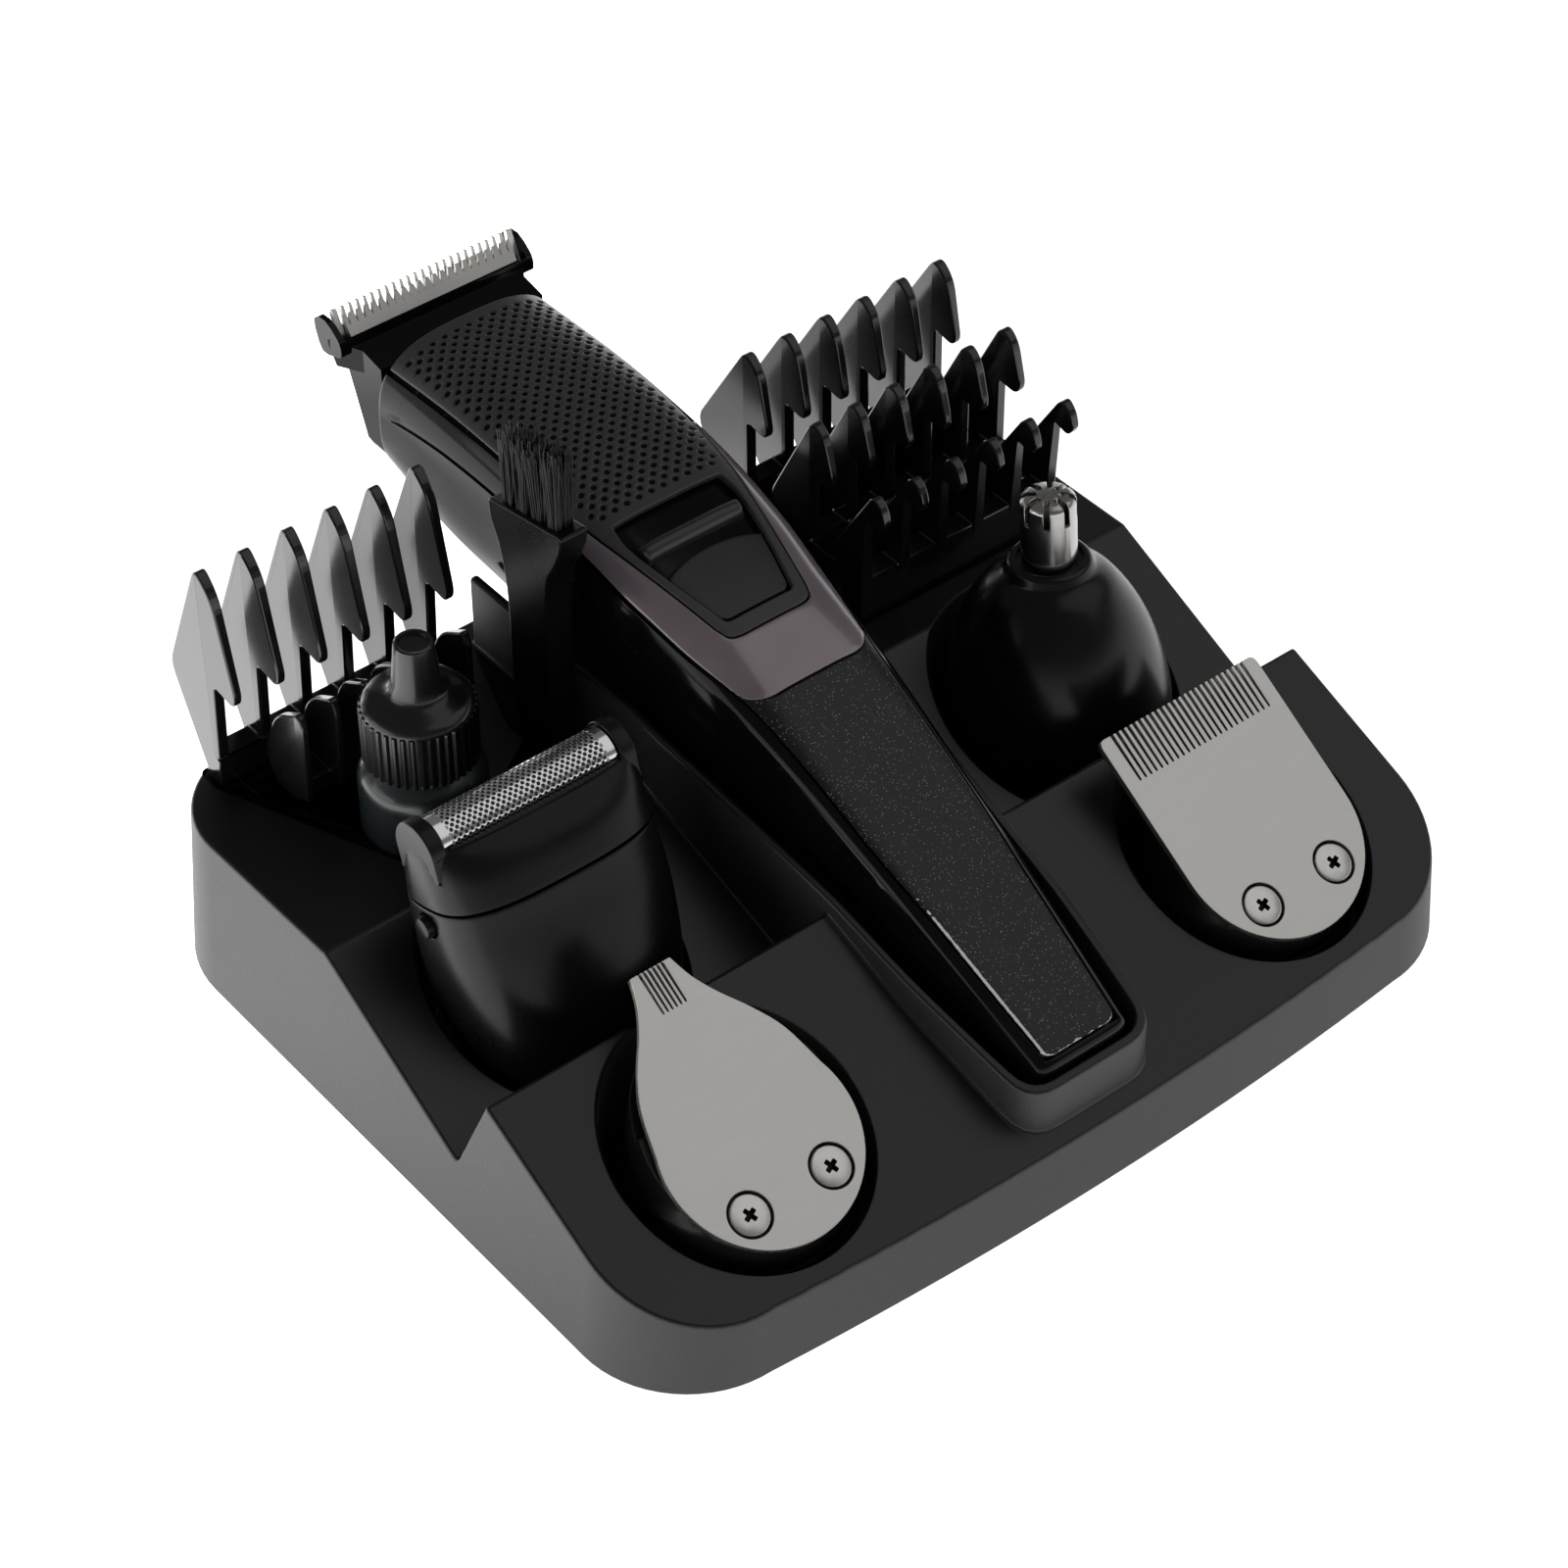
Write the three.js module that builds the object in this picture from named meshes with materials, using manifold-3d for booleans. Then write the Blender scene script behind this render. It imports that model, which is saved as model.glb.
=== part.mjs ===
// Hair clipper kit: a charging-handle clipper lying in a table stand, with its spare cutting
// heads, guide combs, oil bottle and cleaning brush standing in the wells and slots around it.
// Millimetres, +Z up, -Y is the user's side. Every piece is a solid of its own.
import * as THREE from 'three';
import { LoftGeometry } from 'three/addons/geometries/LoftGeometry.js';
import { mergeVertices } from 'three/addons/utils/BufferGeometryUtils.js';
import Module from 'manifold-3d';

const wasm = await Module();
wasm.setup();

// ---------- driving dimensions ----------
const ORIGIN_SHIFT_Y = -16.24;    // puts the middle of the whole kit's length on the origin
const GAP = 0.3;                  // air left between pieces that touch on the real kit
const FAR = 200;                  // longer than anything in the kit, for cutting prisms

const STAND = {
  halfWidth: 80, halfDepth: 65.5, cornerRadius: 19, draft: 0.07, wall: 2.3, rim: 0.6,
  crown: 2.8, crownDraft: 0.07,     // how far the middle of the front and rear walls stands out
};
const STAND_TOP = [[-90, 2.1], [-22.7, 30.75], [-16.1, 14.7], [16.5, 30.6], [90, 29]];
const WELL = { x: 49, radius: 20, floor: 6.5, frontY: -42.8, frontRadius: 19.6, middleY: 0, wall: 2 };
const BOTTLE_HOLE = { x: -49, y: 31.7, radius: 10.2, floor: 22 };
const BRUSH_SLOT = { x: -24.2, halfWidth: 3, y0: 29, y1: 40.5, floor: 15 };
const COMB_SLOT_FLOOR = 26;
const FOOT = { x: 68, y: 54, radius: 5, height: 1.6 };

// the trough that the clipper lies in: [half-width inside, y], rim and floor lines as [y, z]
const TROUGH_INSIDE = [[11.3, -58], [12.1, -53], [13.7, -39], [14.5, -25], [15.7, -10], [17.1, 5],
  [18.4, 20], [18.6, 60]];
const TROUGH = { front: -62.2, wall: 1.6, cornerRadius: 4, back: 59.5 };
const TROUGH_RIM = [[-90, 13.9], [-22.7, 33.4], [20, 43], [90, 43]];
const TROUGH_FLOOR = [[-90, -6], [-56, 8.6], [-30.3, 17.7], [-3.7, 25.8], [9.4, 28.8], [21.3, 31],
  [32.4, 32.1], [90, 33.4]];

// clipper stations from handle tip to head: top point y and z, tilt of the section in degrees,
// thickness, half-width, and how square the upper half of the section is
const STATIONS = [
  [-61.4, 24.3, 24.5, 15.5, 8.9, 6],
  [-38, 35.6, 24.5, 18.5, 10.8, 6],
  [-13, 47.3, 24.5, 22.5, 13, 5],
  [0, 53, 22, 25, 14.5, 4],
  [13, 57.8, 18, 27, 16, 3.4],
  [25.4, 61.3, 14, 29, 17, 3.9],
  [40, 64.8, 10, 31, 17.5, 4],
  [55, 67.3, 6, 33, 17.5, 3.8],
  [70, 68.4, 2, 32.5, 17.5, 3.4],
  [86.4, 68.4, 0, 27.5, 17.1, 3],
];
const TIP_ROUNDING = [[1.1, 1.1], [0.7, 0.35]];   // [distance past the last station, inset]
const HEAD_ROUNDING = [[0.5, 0.6]];
const LOWER_SQUARENESS = 2.6;
const RING_POINTS = 24;
const SKIN = { panel: 1.3, wall: 3.2 };          // panel thickness, and wall under the panels
const HOUSING_SPLIT = [[-90, 0], [-58, 14.5], [-26, 26.5], [10, 35], [40, 41.5], [70, 44.5],
  [100, 45]];

// half-widths of the clipper's top panels, as [half-width, y]
const PANEL_EDGE = [[6.7, -61], [7.7, -49], [8.5, -38], [9.7, -25], [10.3, -13], [11.3, 0], [13.6, 13],
  [15.1, 25], [15.6, 37], [14.9, 48], [14.5, 55], [14.7, 70], [14.9, 84]];
const GRIP_EDGE = [[8.2, 12], [9, 16], [10.9, 25], [12.9, 35], [14, 44], [14.4, 52], [14.7, 70],
  [14.9, 90]];
const SWITCH_WINDOW = [[6.4, 12.8], [8.4, 20], [10, 27], [11, 33], [9.6, 35.2]];
const TRIM_START_Y = 0;
// no panel reaches below this [y, z] line
const PANEL_FLOOR = [[-90, 8.5], [-61, 22.4], [-38, 33.4], [0, 50], [13, 52.6], [37, 58.6],
  [55, 62.4], [95, 62]];
const SWITCH = { travel: 3, gap: 0.45, plate: [0.8, 2.3], ridge: [-0.5, 1.5], ridgeY: [27.6, 30.6] };

const SOCKET = [0, -54.6, 17.6, 24.5];              // charging socket: x, y, z and lean
const MOTOR = { y0: 53, y1: 79, z: 54, radius: 10, halfHeight: 7.7 };

// blade heads that stand in the front wells; plate planes lean up towards the back
const PLATE = { lean: 31.4, y: -54.85, z: 21.2, thickness: 1.2, screwX: 7.3, screwHole: 3.5 };
const SCREW = { headRadius: 3.1, headHeight: 1.2, shankRadius: 1.2, length: 7 };
const DRUM = { radius: 17.5, bottom: 7 };

const SHAVER = { x: -49, y: 7.3, z: 51.3, lean: 17, foilRadius: 4, foilHalf: 15.4 };
const NOSE = { x: 49, y: 3.5, z: 52, lean: 5.4 };
const T_HEAD = {
  y: 98.3, z: 70.2, lean: 71, halfWidth: 17.3, barHalf: 18.6, neckHalf: 15.6, front: 87.2,
};
const T_PLATE = {
  thickness: 1, endRadius: 12.2, screwX: 7.6, screwY: -13, screwHole: 2.6, screwHead: 2.3, screwLength: 3.6,
};
const CRANK = { throw: 1, pin: 0.8, shaft: 1, disc: 3.2 };   // also the trimming cutter's travel each way

// ---------- materials ----------
const plastic = (color, roughness) => new THREE.MeshStandardMaterial({ color, roughness, metalness: 0 });
const metal = (color, roughness) => new THREE.MeshStandardMaterial({ color, roughness, metalness: 1 });
const SATIN_BLACK = plastic(0x0b0b0c, 0.5);
const GLOSS_BLACK = plastic(0x070708, 0.12);
const GRIP_GREY = plastic(0x18191a, 0.62);
const FLAKE_BLACK = plastic(0x0c0c0d, 0.25);
const MAUVE_TRIM = plastic(0x4e474f, 0.2);
const STEEL = metal(0xb9b6b0, 0.35);
const CHROME = metal(0xd8d8da, 0.1);
const RUBBER = plastic(0x101010, 0.85);
const COMB_BLACK = plastic(0x121213, 0.35);
const OIL_BLUE = plastic(0x2a3946, 0.3);
const BRISTLE = plastic(0x141414, 0.7);
const CELL_GREEN = plastic(0x2f6b3a, 0.4);
const BOARD_GREEN = plastic(0x1d5a34, 0.5);

// ---------- solid helpers ----------
function solid(geometry) {
  const bare = new THREE.BufferGeometry();
  bare.setAttribute('position', geometry.getAttribute('position'));
  bare.setIndex(geometry.getIndex());
  const merged = mergeVertices(bare, 1e-4);
  return new wasm.Manifold(new wasm.Mesh({
    numProp: 3,
    vertProperties: new Float32Array(merged.attributes.position.array),
    triVerts: new Uint32Array(merged.index.array),
  }));
}

const join = (...bodies) => bodies.reduce((sum, body) => sum.add(body));

function piece(name, body, material, parent) {
  const cut = body.getMesh();
  const geometry = new THREE.BufferGeometry();
  geometry.setAttribute('position', new THREE.BufferAttribute(cut.vertProperties, 3));
  geometry.setIndex(new THREE.BufferAttribute(cut.triVerts, 1));
  geometry.computeVertexNormals();
  const mesh = new THREE.Mesh(geometry, material);
  mesh.name = name;
  parent.add(mesh);
}

// a closed outline from [x, y] or [x, y, corner radius] points
function outline(points) {
  const shape = new THREE.Shape();
  points.forEach(([x, y, radius = 0], i) => {
    const corner = new THREE.Vector2(x, y);
    const toward = (other) => {
      const side = new THREE.Vector2(other[0], other[1]).sub(corner);
      return corner.clone().addScaledVector(side.clone().normalize(), Math.min(radius, side.length() / 2.1));
    };
    const a = toward(points[(i + points.length - 1) % points.length]);
    const b = toward(points[(i + 1) % points.length]);
    if (i === 0) shape.moveTo(a.x, a.y);
    else shape.lineTo(a.x, a.y);
    if (radius > 0) shape.quadraticCurveTo(x, y, b.x, b.y);
  });
  shape.closePath();
  return shape;
}

function extrude(shape, depth, curveSegments = 4) {
  return new THREE.ExtrudeGeometry(shape, { depth, bevelEnabled: false, curveSegments });
}

const AXES_FOR_X = new THREE.Matrix4().makeBasis(
  new THREE.Vector3(0, 1, 0), new THREE.Vector3(0, 0, 1), new THREE.Vector3(1, 0, 0));
const AXES_FOR_Y = new THREE.Matrix4().makeBasis(
  new THREE.Vector3(1, 0, 0), new THREE.Vector3(0, 0, 1), new THREE.Vector3(0, -1, 0));

// prisms along Z from [x, y] points, along X from [y, z] points, and along Y from [x, z] points
const prismZ = (points, z0, z1, segments) =>
  solid(extrude(outline(points), z1 - z0, segments).translate(0, 0, z0));
const prismX = (points, x0, x1, segments) =>
  solid(extrude(outline(points), x1 - x0, segments).applyMatrix4(AXES_FOR_X).translate(x0, 0, 0));
const prismY = (points, y0, y1, segments) =>
  solid(extrude(outline(points), y1 - y0, segments).applyMatrix4(AXES_FOR_Y).translate(0, y1, 0));

function box(x0, x1, y0, y1, z0, z1) {
  return solid(new THREE.BoxGeometry(x1 - x0, y1 - y0, z1 - z0)
    .translate((x0 + x1) / 2, (y0 + y1) / 2, (z0 + z1) / 2));
}

const postZ = (x, y, radius, z0, z1, segments = 32) =>
  solid(new THREE.CylinderGeometry(radius, radius, z1 - z0, segments)
    .rotateX(Math.PI / 2).translate(x, y, (z0 + z1) / 2));
const postX = (y, z, radius, x0, x1, segments = 20) =>
  solid(new THREE.CylinderGeometry(radius, radius, x1 - x0, segments)
    .rotateZ(Math.PI / 2).translate((x0 + x1) / 2, y, z));
const postY = (x, z, radius, y0, y1, segments = 24) =>
  solid(new THREE.CylinderGeometry(radius, radius, y1 - y0, segments).translate(x, (y0 + y1) / 2, z));

// a turned body about the Z axis, from [radius, z] points listed upwards
const turned = (points, segments = 32) =>
  solid(new THREE.LatheGeometry(points.map(([r, z]) => new THREE.Vector2(r, z)), segments)
    .rotateX(Math.PI / 2));

const loft = (sections) => solid(new LoftGeometry(sections, { capStart: true, capEnd: true }));

// everything under, or over, a [y, z] line
const below = (line) => {
  const [first, last] = [line[0][0], line.at(-1)[0]];
  return prismX([[last, -FAR], ...line.slice().reverse(), [first, -FAR]], -FAR, FAR);
};
const above = (line) => {
  const [first, last] = [line[0][0], line.at(-1)[0]];
  return prismX([[first, FAR], ...line, [last, FAR]], -FAR, FAR);
};
const raised = (line, dz) => line.map(([y, z]) => [y, z + dz]);

// plan outline with equal halves, from [half-width, y] points listed towards +Y
function mirrored(edge, grow = 0) {
  const right = edge.map(([w, y]) => [w + grow, y]);
  const left = edge.map(([w, y]) => [-w - grow, y]).reverse();
  return [...right, ...left];
}

// a group whose local frame leans by an angle about X, at a point
function leaningGroup(x, y, z, leanDegrees, parent = new THREE.Group()) {
  const group = new THREE.Group();
  group.position.set(x, y, z);
  group.rotation.x = THREE.MathUtils.degToRad(leanDegrees);
  parent.add(group);
  group.updateMatrix();
  return group;
}
const inFrame = (body, group) => body.transform(group.matrix.elements.slice());

// ---------- stand ----------
// a rounded rectangle whose front and rear edges are crowned
function standRing(halfX, halfY, radius, crown, z) {
  const ring = [];
  const corners = [[1, 1, 0], [-1, 1, 90], [-1, -1, 180], [1, -1, 270]];
  const steps = 6;
  const straight = halfX - radius;
  for (const [sx, sy, start] of corners) {
    for (let i = 0; i <= steps; i += 1) {
      const angle = THREE.MathUtils.degToRad(start + (90 * i) / steps);
      ring.push(new THREE.Vector3(sx * straight + radius * Math.cos(angle),
        sy * (halfY - radius) + radius * Math.sin(angle), z));
    }
    if (sx !== sy) continue;
    for (const across of [0.75, 0.45, 0.15, -0.15, -0.45, -0.75]) {
      const y = sy * (halfY + crown * (1 - across * across));
      ring.push(new THREE.Vector3(sx * across * straight, y, z));
    }
  }
  return ring;
}

function standBlock(inset, z0, z1) {
  const ring = (z) => {
    const shrink = inset + STAND.draft * z;
    return standRing(STAND.halfWidth - shrink, STAND.halfDepth - shrink, STAND.cornerRadius - shrink,
      STAND.crown - STAND.crownDraft * z, z);
  };
  return loft([ring(z0), ring(z1)]);
}

// the top line moved inwards by the wall thickness, across both straight and steep stretches
function insetLine(line, distance) {
  const moved = line.slice(0, -1).map(([y, z], i) => {
    const [y1, z1] = line[i + 1];
    const length = Math.hypot(y1 - y, z1 - z);
    const shift = [((z1 - z) / length) * distance, (-(y1 - y) / length) * distance];
    return { y: y + shift[0], z: z + shift[1], slope: (z1 - z) / (y1 - y) };
  });
  const points = [[moved[0].y, moved[0].z]];
  for (let i = 1; i < moved.length; i += 1) {
    const [a, b] = [moved[i - 1], moved[i]];
    const y = (b.z - a.z + a.slope * a.y - b.slope * b.y) / (a.slope - b.slope);
    points.push([y, a.z + a.slope * (y - a.y)]);
  }
  const last = moved.at(-1);
  points.push([line.at(-1)[0], last.z + last.slope * (line.at(-1)[0] - last.y)]);
  return points;
}

function troughPlan(grow) {
  const sides = TROUGH_INSIDE.map(([w, y]) => [w + grow, y]);
  const front = TROUGH.front - grow;
  const frontHalf = TROUGH_INSIDE[0][0] + grow - 0.5;
  const radius = TROUGH.cornerRadius + grow;
  return [[-frontHalf, front, radius], [frontHalf, front, radius], ...sides.slice(1),
    ...sides.slice(1).reverse().map(([w, y]) => [-w, y])];
}

const WELLS = [
  [-WELL.x, WELL.frontY, WELL.frontRadius], [WELL.x, WELL.frontY, WELL.frontRadius],
  [-WELL.x, WELL.middleY, WELL.radius], [WELL.x, WELL.middleY, WELL.radius],
];

// guide combs: where the plates start and end across the stand, how many there are, and their
// outlines in the [y, z] plane; the foot is the solid strip that stands in the slot
const COMBS = {
  comb_longest: {
    x0: -69, x1: -28.7, thickness: 1.9, foot: [56.4, 60.4], footTop: 35,
    blade: [[57.8, 71.6, 2.2], [54, 67.8, 2.7], [50.2, 51, 1.2], [51, 48.8, 1], [55.7, 49.9], [56.6, 31],
      [60.3, 31], [67.8, 47.2, 2.2]],
  },
  comb_long: {
    x0: 29.3, x1: 69.8, thickness: 1.9, foot: [52.2, 56.2], footTop: 40,
    blade: [[53.5, 66.3, 2], [50, 63.6, 2.5], [47.8, 53.2, 1.2], [48.7, 51.8, 1], [52.6, 52.8], [52.4, 31],
      [56.2, 31], [65.6, 46.6, 2.2]],
  },
  comb_medium: {
    x0: 29.3, x1: 69.6, thickness: 1.9, foot: [36.6, 40.6], footTop: 39,
    blade: [[36.9, 62.7, 2], [34, 60.8, 2.2], [31.9, 53.6, 1.2], [32.8, 51.6, 1], [36.9, 52.2], [36.8, 31],
      [40.6, 31], [47.1, 42.6, 2.2]],
  },
  comb_short: {
    x0: 29.3, x1: 69.6, thickness: 1.9, foot: [24.4, 28.4], footTop: 38.5,
    blade: [[22.3, 57, 1.6], [20, 55.4, 1.5], [19.2, 52.8, 0.8], [20.4, 50.9, 0.8], [23.6, 52], [24.6, 31],
      [28.4, 31], [31.7, 41.6, 2.2]],
  },
  comb_narrow: {
    x0: -62, x1: -30.6, thickness: 1.5, foot: [46.2, 52.6], footTop: 33,
    blade: [[44.7, 47.9, 1.2], [43.6, 45.5, 0.6], [44, 31], [53, 31], [54.8, 34, 1.5], [51, 44, 3]],
  },
};
const COMB_TEETH = 6;

function combFootBox(comb, grow, z0, z1) {
  return box(comb.x0 - grow, comb.x1 + grow, comb.foot[0] - grow, comb.foot[1] + grow, z0, z1);
}

function bottleHole(grow, segments) {
  const { x, y, radius, floor } = BOTTLE_HOLE;
  return postZ(x, y, radius + grow, floor - grow, 65, segments);
}

function brushSlot(grow) {
  const { x, halfWidth, y0, y1, floor } = BRUSH_SLOT;
  return box(x - halfWidth - grow, x + halfWidth + grow, y0 - grow, y1 + grow, floor - grow, 65);
}

function standShell() {
  const top = below(STAND_TOP);
  const troughWalls = prismZ(troughPlan(TROUGH.wall), STAND.rim, 60)
    .intersect(below(TROUGH_RIM))
    .subtract(box(-FAR, FAR, TROUGH.back, FAR, -FAR, FAR));
  const outside = standBlock(0, STAND.rim, 46).intersect(top);

  const cups = join(
    ...WELLS.map(([x, y, r]) => postZ(x, y, r + WELL.wall, WELL.floor - WELL.wall, 60, 24)),
    bottleHole(WELL.wall, 16),
    brushSlot(WELL.wall),
    ...Object.values(COMBS).map((comb) => combFootBox(comb, 2.2, COMB_SLOT_FLOOR - 2.2, 60)));
  const troughUnder = prismZ(troughPlan(TROUGH.wall), -5, 60)
    .intersect(above(raised(TROUGH_FLOOR, -STAND.wall)));
  const hollow = standBlock(STAND.wall, -1, 46).intersect(below(insetLine(STAND_TOP, STAND.wall)))
    .subtract(cups).subtract(troughUnder);

  const wells = join(
    ...WELLS.map(([x, y, r]) => postZ(x, y, r, WELL.floor, 70, 36)),
    bottleHole(0, 24),
    brushSlot(0),
    ...Object.values(COMBS).map((comb) => combFootBox(comb, 0.4, COMB_SLOT_FLOOR, 70)));
  const troughInside = prismZ(troughPlan(0), -5, 70).intersect(above(TROUGH_FLOOR));

  const bosses = footPlaces().map(([x, y]) => postZ(x, y, FOOT.radius + 1.6, STAND.rim, 14, 12));
  const sockets = footPlaces().map(([x, y]) => postZ(x, y, FOOT.radius + GAP, -1, FOOT.height + GAP, 12));
  return join(outside, troughWalls).subtract(hollow.subtract(join(...bosses)))
    .subtract(wells).subtract(troughInside).subtract(join(...sockets));
}

function footPlaces() {
  return [[-FOOT.x, -FOOT.y], [FOOT.x, -FOOT.y], [-FOOT.x, FOOT.y], [FOOT.x, FOOT.y]];
}

function buildStand(parent) {
  piece('stand_shell', standShell(), SATIN_BLACK, parent);
  const names = ['foot_pad_front_left', 'foot_pad_front_right', 'foot_pad_rear_left', 'foot_pad_rear_right'];
  footPlaces().forEach(([x, y], i) => {
    piece(names[i], postZ(x, y, FOOT.radius, 0, FOOT.height, 12), RUBBER, parent);
  });
}

// ---------- clipper shells ----------
function stationAt(y) {
  const last = STATIONS.length - 1;
  const i = Math.min(Math.max(STATIONS.findIndex((station) => station[0] > y) - 1, 0), last - 1);
  const k = y >= STATIONS[last][0] ? last - 1 : i;
  const span = (j) => STATIONS[j + 1][0] - STATIONS[j][0];
  const rise = (j, c) => (STATIONS[j + 1][c] - STATIONS[j][c]) / span(j);
  const slope = (j, c) => {
    if (j === 0) return rise(0, c);
    if (j === last) return rise(last - 1, c);
    return (rise(j - 1, c) * span(j) + rise(j, c) * span(j - 1)) / (span(j) + span(j - 1));
  };
  const h = span(k);
  const u = (y - STATIONS[k][0]) / h;
  return STATIONS[k].map((value, c) => {
    if (c === 0) return y;
    const [a, b, d] = [slope(k, c) * h, slope(k + 1, c) * h, STATIONS[k + 1][c] - value];
    return value + a * u + (3 * d - 2 * a - b) * u * u + (a + b - 2 * d) * u * u * u;
  });
}

// one ring of the clipper's skin, moved inwards by inset and along the clipper by shift
function clipperSection([y, z, tiltDegrees, thickness, halfWidth, squareness], inset, shift = 0) {
  const tilt = THREE.MathUtils.degToRad(tiltDegrees);
  const up = new THREE.Vector3(0, -Math.sin(tilt), Math.cos(tilt));
  const along = new THREE.Vector3(0, Math.cos(tilt), Math.sin(tilt));
  const centre = new THREE.Vector3(0, y, z)
    .addScaledVector(up, -thickness / 2)
    .addScaledVector(along, shift);
  const ring = [];
  for (let i = 0; i < RING_POINTS; i += 1) {
    const angle = (2 * Math.PI * i) / RING_POINTS;
    const [c, s] = [Math.cos(angle), Math.sin(angle)];
    const power = 2 / (s >= 0 ? squareness : LOWER_SQUARENESS);
    const across = -Math.sign(c) * Math.abs(c) ** power * (halfWidth - inset);
    const upward = Math.sign(s) * Math.abs(s) ** power * (thickness / 2 - inset);
    ring.push(new THREE.Vector3(across, 0, 0).add(centre).addScaledVector(up, upward));
  }
  return ring;
}

function clipperLoft(inset, y0 = STATIONS[0][0], y1 = STATIONS.at(-1)[0], steps = 11) {
  const first = stationAt(y0);
  const last = stationAt(y1);
  const sections = Array.from({ length: steps + 1 }, (_, i) =>
    clipperSection(stationAt(y0 + ((y1 - y0) * i) / steps), inset));
  if (y0 > STATIONS[0][0]) return loft(sections);
  return loft([
    ...TIP_ROUNDING.map(([past, extra]) => clipperSection(first, inset + extra, -past)),
    ...sections,
    ...HEAD_ROUNDING.map(([past, extra]) => clipperSection(last, inset + extra, past)),
  ]);
}

const OUTER = clipperLoft(0);
const UNDER_PANEL = clipperLoft(SKIN.panel);
const SEAT = clipperLoft(SKIN.panel + GAP);
const INSIDE = clipperLoft(SKIN.wall, -58, 83.2);

const facePlan = (grow) => {
  const edge = PANEL_EDGE.filter(([, y]) => y < TRIM_START_Y);
  const tip = edge[0];
  return [[-tip[0] - grow, tip[1] - 0.9 - grow, 2], [tip[0] + grow, tip[1] - 0.9 - grow, 2],
    ...mirrored([...edge.slice(1), [11, TRIM_START_Y + 2.6]], grow)];
};
const trimPlan = (grow) => {
  const edge = PANEL_EDGE.filter(([, y]) => y > TRIM_START_Y && y <= 48);
  const start = 11.1 + grow;
  return [[-start, TRIM_START_Y - grow, 4], [start, TRIM_START_Y - grow, 4], ...mirrored(edge, grow)];
};
const gripPlan = (grow) => {
  const start = GRIP_EDGE[0][0] - 0.5 + grow;
  return [[-start, GRIP_EDGE[0][1] - 2 - grow, 3], [start, GRIP_EDGE[0][1] - 2 - grow, 3],
    ...mirrored(GRIP_EDGE.slice(1), grow)];
};
const windowPlan = (grow) => mirrored(SWITCH_WINDOW.map(([w, y], i, all) => {
  const isEnd = i === 0 || i === all.length - 1;
  return [w, isEnd ? y + Math.sign(i - 1) * grow : y];
}), grow);

// a plan outline turned into a column down to just under the panels' lowest edges
const column = (plan) => prismZ(plan, 3, 90).intersect(above(PANEL_FLOOR));

// the slider fills its window except for the travel left free towards the head
function switchSlider() {
  const end = SWITCH_WINDOW.at(-1)[1] - SWITCH.travel - 1;
  const plan = column(windowPlan(-SWITCH.gap)).subtract(box(-FAR, FAR, end, FAR, -FAR, FAR));
  const skinBetween = ([outer, inner]) => clipperLoft(outer).subtract(clipperLoft(inner)).intersect(plan);
  const ridge = skinBetween(SWITCH.ridge).intersect(box(-FAR, FAR, ...SWITCH.ridgeY, -FAR, FAR));
  return join(skinBetween(SWITCH.plate), ridge);
}

function clipperPanels() {
  const skin = OUTER.subtract(UNDER_PANEL);
  const window = column(windowPlan(0));
  const grip = column(gripPlan(0));
  const trim = column(trimPlan(0)).subtract(column(gripPlan(GAP)));
  const face = column(facePlan(0)).subtract(column(trimPlan(GAP)));
  return {
    grip_panel: skin.intersect(grip).subtract(window),
    switch_trim: skin.intersect(trim),
    face_panel: skin.intersect(face),
  };
}

function clipperHousings() {
  const panelRecess = join(column(gripPlan(GAP)), column(trimPlan(GAP)), column(facePlan(GAP)))
    .subtract(SEAT);
  const shaftHole = postY(0, MOTOR.z, 4.6, 78, 95);
  const socketHole = inFrame(box(-4.4, 4.4, -20, 6.3, -2.6, 2.6), leaningGroup(...SOCKET));
  const shell = OUTER.subtract(panelRecess).subtract(INSIDE).subtract(column(windowPlan(0.2)))
    .subtract(shaftHole).subtract(socketHole);
  return {
    upper_housing: shell.intersect(above(raised(HOUSING_SPLIT, GAP / 2))),
    lower_housing: shell.intersect(below(raised(HOUSING_SPLIT, -GAP / 2))),
  };
}

function driveMotor() {
  const can = postY(0, MOTOR.z, MOTOR.radius, MOTOR.y0, MOTOR.y1)
    .intersect(box(-FAR, FAR, -FAR, FAR, MOTOR.z - MOTOR.halfHeight, MOTOR.z + MOTOR.halfHeight));
  return join(can, postY(0, MOTOR.z, 3, MOTOR.y0 - 1.8, MOTOR.y0 + 1))
    .subtract(postY(0, MOTOR.z, 1.3, MOTOR.y1 - 4, MOTOR.y1 + 1, 16));
}

function motorBracket() {
  const plate = box(-10, 10, MOTOR.y1 + GAP, MOTOR.y1 + 2, MOTOR.z - 6.5, MOTOR.z + 8.5);
  return plate.subtract(postY(0, MOTOR.z, 4, MOTOR.y1, MOTOR.y1 + 3));
}

function motorShaft() {
  const shaft = postY(0, MOTOR.z, CRANK.shaft, MOTOR.y1 - 3.6, 84.4, 12);
  const disc = postY(0, MOTOR.z, CRANK.disc, 84.2, 86.2, 16);
  return join(shaft, disc, postY(0, MOTOR.z + CRANK.throw, CRANK.pin, 86, 89.6, 12));
}

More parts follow.
